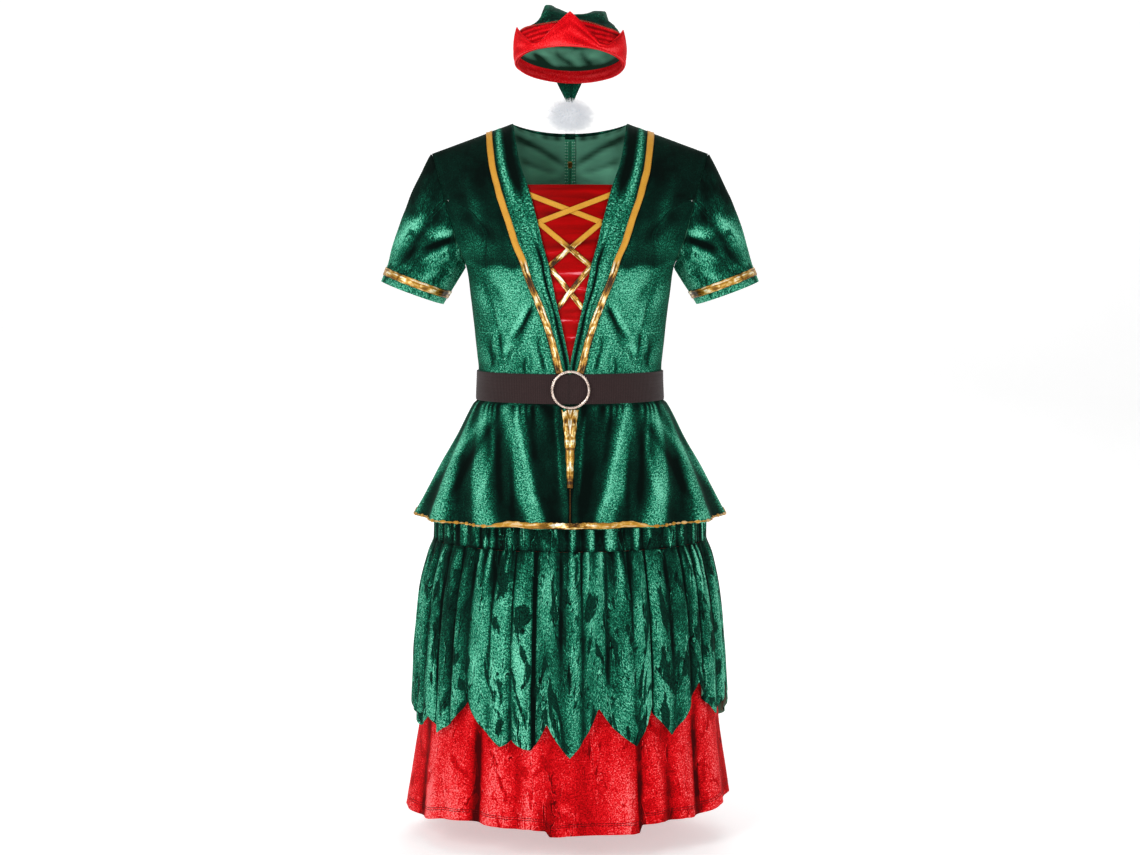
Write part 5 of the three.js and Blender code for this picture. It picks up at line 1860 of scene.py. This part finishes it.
def hatSide(angle, up, lift):
    grow = 1 + hatRim["bulge"] * np.sin(math.pi * up / 40)
    z = hatRim["middle"] + hatRim["front"] * np.cos(angle) - hatRim["roll"] * np.sin(angle) + up
    return point(
        (hatRim["halfWidth"] * grow + lift) * np.sin(angle),
        -(hatRim["halfDepth"] * grow + lift) * np.cos(angle),
        z,
    )


def cuffHeight(angle):
    turn = np.abs((angle / (2 * math.pi) * hat["cuffPoints"] + 0.5) % 1 - 0.5) * 2
    high = hat["cuffHigh"] - hat["sideDrop"] * np.sin(angle) ** 2
    return mix(high, hat["cuffLow"], np.minimum(1, turn / 0.85))


hatAngles = np.linspace(-math.pi, math.pi, 200, endpoint=False)


def bandRelief(grid, angle, t):
    wrinkle = np.sin(t * 19 + 1.6 * np.sin(angle * 2.3)) * (0.5 + 0.5 * np.sin(angle * 5 + t * 3))
    return wrinkle * 0.9 * soft(t, 0.1, 0.3) * (1 - soft(t, 0.92, 1))


# Painted light and shade: the band is painted dark as lying in the cuff's shadow, with painted highlights
# in narrow lines across; its inside is painted bright, with painted shade along its top edge.
def bandShade(grid, angle, t):
    lines = np.sin(t * 34 + 2.2 * np.sin(angle * 2.3) + 1.4 * np.sin(angle * 5))
    return 0.2 * soft(lines, 0.3, 0.95) - 0.24 * soft(-lines, 0.1, 0.9) - 0.02


def bandInside(grid, angle, t):
    lines = np.sin(t * 26 + 2.0 * np.sin(angle * 3.1))
    return 0.82 + 0.08 * lines - 0.5 * bell((t - 1) / 0.12)


band = shell(
    "hat_band_cloth", lambda a, t: hatSide(a, t * (hat["bandHeight"] + 1.5 * np.sin(a * 5 + 1)), 0),
    hatAngles, steps(0, 1, 26), 0, cloth["thick"], [hatVelvet, hatVelvet], round=True, relief=bandRelief,
    shade=bandShade, inside=bandInside, painted_light=0.4, hollowShade=0.12,
)
declare(band, "garment", "red_velvet", "hat_band")


def cuffRelief(grid, angle, t):
    small = ripple(angle * 6, t * 5, 2.2) * 0.5
    rows = 0.5 * np.sin(t * 15 + np.sin(angle * 3)) * (0.5 + 0.5 * np.sin(angle * 4 + 1))
    tip = bell(((angle * 5 / (2 * math.pi) + 0.5) % 1 - 0.5) / 0.12) * soft(t, 0.6, 1.0) * 1.6
    return (small + rows) * (1 - soft(t, 0.9, 1)) * soft(t, 0, 0.1) + tip


# Painted highlights on the cuff's rims, the folded lower edge and the edge of each point, and a painted
# dark line just below the top.
def cuffShade(grid, angle, t):
    rim = 0.3 * bell(t / 0.07) + 0.2 * bell((1 - t) / 0.05)
    return rim - 0.2 * bell((1 - t - 0.12) / 0.06) + 0.14 * ripple(angle * 5, t * 6, 3.4)


cuff = shell(
    "hat_cuff_cloth",
    lambda a, t: hatSide(a, mix(0.6, cuffHeight(a), t), cloth["thick"] + 2 * cloth["layer"]),
    np.linspace(-math.pi, math.pi, 230, endpoint=False), steps(0, 1, 26), 0, cloth["thick"],
    [hatVelvet, redBack], round=True, relief=cuffRelief, shade=cuffShade, painted_light=0.56, hollowShade=0.1,
)
declare(cuff, "garment", "red_velvet", "hat_cuff")


def crownLines():
    rows = []
    for level, up in enumerate((18, 34)):
        far, near = hatSide(0.0, up, -0.6), hatSide(math.pi, up, -0.6)
        halfWidth = hatSide(math.pi / 2, up, -0.6)[0]
        rows.append((level, far[1], far[2], near[1], near[2], halfWidth, 0, 0))
    rows += [
        (2, -80, 144, 84, 113, 69.5, 0, 2),
        (3, -60, 151, 94, 122, 61, 12, 5),
        (4, -8, 153, 103, 124, 52, 27, 8),
        (5, 64, 148, 107, 118, 44, 9, 5),
        (6, 118, 118, 109.5, 104, 35, 0, 0),
        (7, 127, 82, 110, 80, 24, 0, -1),
        (8, 121, 40.3, 115, 40.3, 5, 0, 0),
    ]
    return table(("farY", "farZ", "nearY", "nearZ", "halfWidth", "peak", "shift"), *rows)


crown = crownLines()


def crownAt(angle, level):
    get = {name: line(level) for name, line in crown.items()}
    c = np.cos(angle)
    y = (get["farY"] + get["nearY"]) / 2 + (get["farY"] - get["nearY"]) * c / 2
    z = (get["farZ"] + get["nearZ"]) / 2 + (get["farZ"] - get["nearZ"]) * c / 2
    x = get["halfWidth"] * np.sin(angle)
    off = np.abs(x) / hat["peakAt"]
    peak = np.where(off < 1, off**1.3, bell((np.abs(x) - hat["peakAt"]) / hat["peakWide"]))
    peak = peak * (1 - hat["peakLean"] * np.tanh(x / 6))
    z = z + get["peak"] * peak * np.sqrt(np.maximum(0, c))
    z = z - clamp(2 - level) * hatRim["roll"] * np.sin(angle)
    return point(x + get["shift"], y, z)


# Painted shade and highlight strokes for the folds of the lining at the far side: from, to, width,
# strength.
liningFoldShade = (
    (-56, 108, -30, 90, 4.0, -0.4),
    (-44, 112, -14, 88, 5.0, 0.24),
    (-22, 112, 6, 90, 4.0, -0.34),
    (-6, 110, 20, 92, 5.0, 0.22),
    (14, 112, 34, 92, 4.0, -0.3),
    (30, 108, 54, 96, 4.5, 0.2),
)


# Painted light and shade inside the crown: fold strokes at the far side, a painted shadow along the
# lining's lower edge at the back, and darker towards the top.
def crownInside(grid, angle, level):
    y, z = grid[..., 1], grid[..., 2]
    x = grid[..., 0]
    tone = 0.44 + 0.16 * ripple(angle * 4, level * 2.4, 2.6)
    for x0, z0, x1, z1, wide, deep in liningFoldShade:
        tone = tone + (y > 0) * deep * stroke(x, z, x0, z0, x1, z1, wide)
    shadow = bell((level - 0.1) / 0.3) * 0.6
    return tone - shadow * (y > 0) - 0.2 * soft(z, 128, 150)


def crownRelief(grid, angle, level):
    fold = ripple(angle * 3, level * 1.9, 1.7) * 2.0
    small = ripple(angle * 8, level * 6, 3.7) * 0.6
    return -np.abs(fold + small) * soft(level, 1.0, 2.2) * (1 - soft(level, 7.0, 8.0))


top = shell(
    "hat_crown_cloth", crownAt, np.linspace(-math.pi, math.pi, 144, endpoint=False), steps(0, 8, 80),
    -cloth["thick"], 0, [sleeveVelvet, greenBack], round=True, relief=crownRelief,
    inside=crownInside, painted_light=0.38, hollowShade=0.05, tiltShade=0.15,
)
declare(top, "garment", "green_velvet", "hat_crown")
print("hat made")


# Pompom: many fine curved hairs that all start inside it, spread by Geometry Nodes.
pompom = {
    "x": 0.7, "y": 118, "z": 21, "across": 37, "deep": 34, "half": 26,
    "hairs": 4000, "levels": 4, "hairWide": 0.55, "lean": 0.32, "seed": 7,
}


# One tile repeated at points. Each point has a turn and a size of its own, and the tree's own
# sizes say how large the tile is along, across and up.
def repeats(name, spots, turns, sizes, tile, material, along, across, up):
    cloud = bpy.data.meshes.new(name + "_spots")
    cloud.from_pydata((np.asarray(spots) / 1000).tolist(), [], [])
    for key, values in (("turn", turns), ("size", sizes)):
        layer = cloud.attributes.new(key, "FLOAT_VECTOR", "POINT")
        layer.data.foreach_set("vector", np.asarray(values, np.float32).reshape(-1))
    holder = bpy.data.objects.new(name + "_spots", cloud)
    scene.collection.objects.link(holder)
    tree = bpy.data.node_groups.new(name + "_repeats", "GeometryNodeTree")
    settings = {"Tile": tile, "Material": material, "Along": along, "Across": across, "Up": up}
    kinds = ("Geometry", "Object", "Material", "Float", "Float", "Float")
    keys = {}
    for key, kind in zip(("Spots", *settings), kinds):
        made = tree.interface.new_socket(key, in_out="INPUT", socket_type="NodeSocket" + kind)
        keys[key] = made.identifier
    tree.interface.new_socket("Result", in_out="OUTPUT", socket_type="NodeSocketGeometry")
    g = Nodes(tree)
    given = g.node("NodeGroupInput")
    turn, size = (
        g.node("GeometryNodeInputNamedAttribute", {"Name": key}, data_type="FLOAT_VECTOR")[0]
        for key in ("turn", "size")
    )
    shape = g.node("GeometryNodeObjectInfo", {"Object": given[1]})[-1]
    whole = g.node("ShaderNodeCombineXYZ", given[3:6])[0]
    scale = g.node("ShaderNodeVectorMath", [size, whole], operation="MULTIPLY")[0]
    spread = g.node(
        "GeometryNodeInstanceOnPoints",
        {"Points": given[0], "Instance": shape, "Rotation": turn, "Scale": scale},
    )[0]
    real = g.node("GeometryNodeRealizeInstances", {"Geometry": spread})[0]
    painted = g.node("GeometryNodeSetMaterial", {"Geometry": real, "Material": given[2]})[0]
    g.node("NodeGroupOutput", {"Result": painted})
    modifier = holder.modifiers.new("repeats", "NODES")
    modifier.node_group = tree
    for key, value in settings.items():
        modifier[keys[key]] = value
    graph = bpy.context.evaluated_depsgraph_get()
    mesh = bpy.data.meshes.new_from_object(holder.evaluated_get(graph))
    mesh.name = name
    holder.modifiers.remove(modifier)
    bpy.data.objects.remove(holder)
    bpy.data.objects.remove(tile)
    if not mesh.materials:
        mesh.materials.append(material)
    mesh.polygons.foreach_set("use_smooth", [True] * len(mesh.polygons))
    piece = bpy.data.objects.new(name, mesh)
    scene.collection.objects.link(piece)
    pieces[name] = piece
    return piece


def hairTile():
    points, faces, painted_light = [], [], []
    levels = pompom["levels"]
    for i in range(levels):
        t = i / (levels - 1)
        wide = (1 - t) ** 0.7 * 0.5 + 0.03
        bendX = 0.35 * t * t
        for k in range(3):
            a = 2 * math.pi * k / 3
            points.append((bendX + wide * math.cos(a) * 0.06, wide * math.sin(a) * 0.06, t))
            # The attribute runs from 0 at the root to 1 at the tip, for the fur's painted shade at the
            # roots.
            painted_light.append(t)
    for i in range(levels - 1):
        for k in range(3):
            m = (k + 1) % 3
            faces.append((i * 3 + k, i * 3 + m, i * 3 + 3 + m, i * 3 + 3 + k))
    mesh = bpy.data.meshes.new("hair_tile")
    mesh.from_pydata(points, [], faces)
    layer = mesh.attributes.new("painted_light", "FLOAT", "POINT")
    layer.data.foreach_set("value", painted_light)
    tile = bpy.data.objects.new("hair_tile", mesh)
    scene.collection.objects.link(tile)
    return tile


def makePompom():
    dice = np.random.default_rng(pompom["seed"])
    count = pompom["hairs"]
    i = np.arange(count) + 0.5
    up = 1 - 2 * i / count
    spin = i * 2.399963
    flat = np.sqrt(1 - up * up)
    way = np.stack([flat * np.cos(spin), flat * np.sin(spin), up], -1)
    radii = np.array([pompom["across"], pompom["deep"], pompom["half"]])
    middle = np.array([pompom["x"], pompom["y"], pompom["z"]])
    inner = way * radii * (0.5 + 0.16 * dice.random((count, 1)))
    lean = unit(way + dice.normal(0, pompom["lean"], (count, 3)))
    lengths = np.linalg.norm(way * radii, axis=1) * (0.34 + 0.22 * dice.random(count) ** 2)
    tips = inner + lean * lengths[:, None]
    low = middle[2] + tips[:, 2]
    lengths = np.where(np.abs(low - middle[2]) > 27, lengths * 0.85, lengths)
    turns = []
    for k in range(count):
        upright = Vector(lean[k]).to_track_quat("Z", "Y").to_matrix()
        turned = upright @ Matrix.Rotation(dice.random() * 2 * math.pi, 3, "Z")
        turns.append(tuple(turned.to_euler()))
    sizes = np.repeat(lengths[:, None], 3, 1)
    wide = pompom["hairWide"] / 1000
    fur = repeats("pompom_fur", inner + middle, turns, sizes, hairTile(), whiteFur, wide, wide, 0.001)
    declare(fur, "garment", "white_fur", "hat_pompom")


makePompom()
print("pompom made")


# Stitches, teeth and edge threads: one low tile of thread, repeated along paths on the cloth.
thread = {"pitch": 3.4, "long": 2.5, "wide": 0.55, "high": 0.4}


def threadTile():
    points, faces = [], []
    rings = ((-0.5, 0.22), (-0.3, 0.5), (0.3, 0.5), (0.5, 0.22))
    for x, r in rings:
        for k in range(4):
            a = 2 * math.pi * k / 4
            points.append((x, r * math.cos(a), r * math.sin(a)))
    for i in range(3):
        for k in range(4):
            m = (k + 1) % 4
            faces.append((i * 4 + k, i * 4 + 4 + k, i * 4 + 4 + m, i * 4 + m))
    faces.append((0, 1, 2, 3))
    faces.append((15, 14, 13, 12))
    mesh = bpy.data.meshes.new("thread_tile")
    mesh.from_pydata(points, [], faces)
    tile = bpy.data.objects.new("thread_tile", mesh)
    scene.collection.objects.link(tile)
    return tile


# A path along a shell's skin, at a fraction of its rows or columns.
def rowPath(name, row, inner=False, closed=False):
    skin, way = skins[name][1 if inner else 0], skins[name][2] * (-1 if inner else 1)
    i, f = int(row), row - int(row)
    path, up = mix(skin[:, i], skin[:, min(i + 1, skin.shape[1] - 1)], f), way[:, i]
    if closed:
        path, up = np.concatenate([path, path[:1]]), np.concatenate([up, up[:1]])
    return path, up


def columnPath(name, column, inner=False, keep=slice(None)):
    skin, way = skins[name][1 if inner else 0], skins[name][2] * (-1 if inner else 1)
    i, f = int(column), column - int(column)
    return mix(skin[i], skin[min(i + 1, skin.shape[0] - 1)], f)[keep], way[i][keep]


def stitches(name, paths, material, slot, pitch=None, long=None, wide=None, high=None,
             slant=0.0, lift=0.0):
    pitch, long = pitch or thread["pitch"], long or thread["long"]
    wide, high = wide or thread["wide"], high or thread["high"]
    spots, turns = [], []
    for path, up in paths:
        run = np.concatenate([[0], np.cumsum(np.linalg.norm(np.diff(path, axis=0), axis=1))])
        count = max(1, int(run[-1] / pitch))
        at = (np.arange(count) + 0.5) * run[-1] / count
        here, ahead, out = (
            np.stack([np.interp(place, run, values[:, k]) for k in range(3)], -1)
            for place, values in ((at, path), (np.minimum(at + 0.5, run[-1]), path), (at, up))
        )
        out = unit(out)
        spots.append(here + out * lift)
        for k in range(count):
            x = Vector(ahead[k] - here[k]).normalized()
            y = Vector(out[k]).cross(x).normalized()
            turned = Matrix((x, y, x.cross(y))).transposed()
            turned = turned @ Matrix.Rotation(slant * (-1) ** k, 3, "Z")
            turns.append(tuple(turned.to_euler()))
    spots = np.concatenate(spots)
    piece = repeats(
        name, spots, turns, np.ones_like(spots), threadTile(), material,
        long / 1000, wide / 1000, high / 1000,
    )
    declare(piece, "garment", slot)
    return piece


for side in ("left", "right"):
    trim = f"collar_trim_{side}"
    paths = [columnPath(trim, column) for column in (1, 7)]
    stitches(f"collar_stitches_{side}", paths, goldThread, "gold_ribbon")
    trim = f"sleeve_trim_{side}"
    paths = [rowPath(trim, row, closed=True) for row in (1, 6)]
    stitches(f"sleeve_stitches_{side}", paths, goldThread, "gold_ribbon")
stitches(
    "peplum_hem_stitches", [rowPath("peplum_trim_front", 6), rowPath("peplum_trim_back", 6)],
    goldThread, "gold_ribbon", pitch=4,
)
levels = np.array(peplumLevels)
low = (levels > -561) & (levels < -507)
stitches(
    "front_seam_thread",
    [
        columnPath("peplum_cloth_front_left", 150, keep=low),
        columnPath("peplum_cloth_front_right", 0, keep=low),
    ],
    darkThread, "gold_ribbon", pitch=2.2, long=2.6, wide=1.1, high=0.6, lift=0.1,
)
hems = [f"underskirt_cloth_{name}" for name in ("front", "back")]
stitches(
    "underskirt_hem_stitches", [rowPath(name, row) for name in hems for row in (1.46, 1.8)],
    hemThread, "red_velvet", pitch=4.0, long=3.5, wide=1.0, high=0.5,
)
# The slider's inner plate, seen from inside below the back neck: wide shoulders and a narrow foot.
def innerPlate():
    path, up = columnPath("zip_tape_cloth", 8, inner=True)
    here = int(np.argmin(np.abs(path[:, 2] - zipper["sliderAt"])))
    centre, out = path[here], unit(up[here])
    along = unit(path[here - 3] - path[here + 3])
    along = along * np.sign(along[2])
    side = np.cross(along, out)
    shape = ((-0.5, 0.3), (-0.34, 0.4), (0.1, 0.46), (0.36, 0.5), (0.5, 0.32))
    ring = [(-x, z) for z, x in shape] + [(x, z) for z, x in reversed(shape)]
    points, faces, count = [], [], len(ring)
    for lift, size in ((0.05, 1.0), (zipper["sliderThick"] * 0.7, 1.0), (zipper["sliderThick"], 0.8)):
        for x, z in ring:
            spot = centre + side * (x * size * zipper["sliderWide"])
            spot = spot + along * (z * size * zipper["sliderTall"])
            points.append(tuple((spot + out * lift) / 1000))
    for level in range(2):
        for k in range(count):
            m = (k + 1) % count
            a, b = level * count, (level + 1) * count
            faces.append((a + k, a + m, b + m, b + k))
    faces.append(tuple(range(count))[::-1])
    faces.append(tuple(range(2 * count, 3 * count)))
    mesh = bpy.data.meshes.new("zip_inner_plate")
    mesh.from_pydata(points, [], faces)
    mesh.materials.append(brass)
    plate = bpy.data.objects.new("zip_inner_plate", mesh)
    scene.collection.objects.link(plate)
    return plate


openRows = np.array(zipRows) < zipper["clothTop"] - 0.02
stitches(
    "zip_teeth", [columnPath("zip_tape_cloth", 8, inner=True, keep=openRows)], zipPlastic, "zip_tape",
    pitch=1.9, long=2.6, wide=1.3, high=1.0, slant=1.2, lift=0.1,
)
stitches(
    "zip_edge_threads",
    [columnPath("zip_tape_cloth", at, inner=True, keep=openRows) for at in (0.7, 4.1, 11.9, 15.3)],
    edgeThread, "green_velvet", pitch=4.7, long=2.1, wide=1.5, high=1.2, slant=0.8, lift=0.4,
)
declare(innerPlate(), "garment", "brass")
stitches(
    "hat_edge_threads", [rowPath("hat_band_cloth", 25.2, closed=True)], paleThread, "red_velvet",
    pitch=1.9, long=2.2, wide=0.5, slant=0.9,
)
stitches(
    "hat_rim_stitches", [rowPath("hat_cuff_cloth", row, closed=True) for row in (1.6, 24.6)],
    redThread, "red_velvet", pitch=3.2,
)
print("stitches made")
scene.view_layers[0].update()
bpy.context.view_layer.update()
count = sum(len(p.data.loops) - 2 * len(p.data.polygons) for p in pieces.values())
print("triangles", count)
print("scene made")
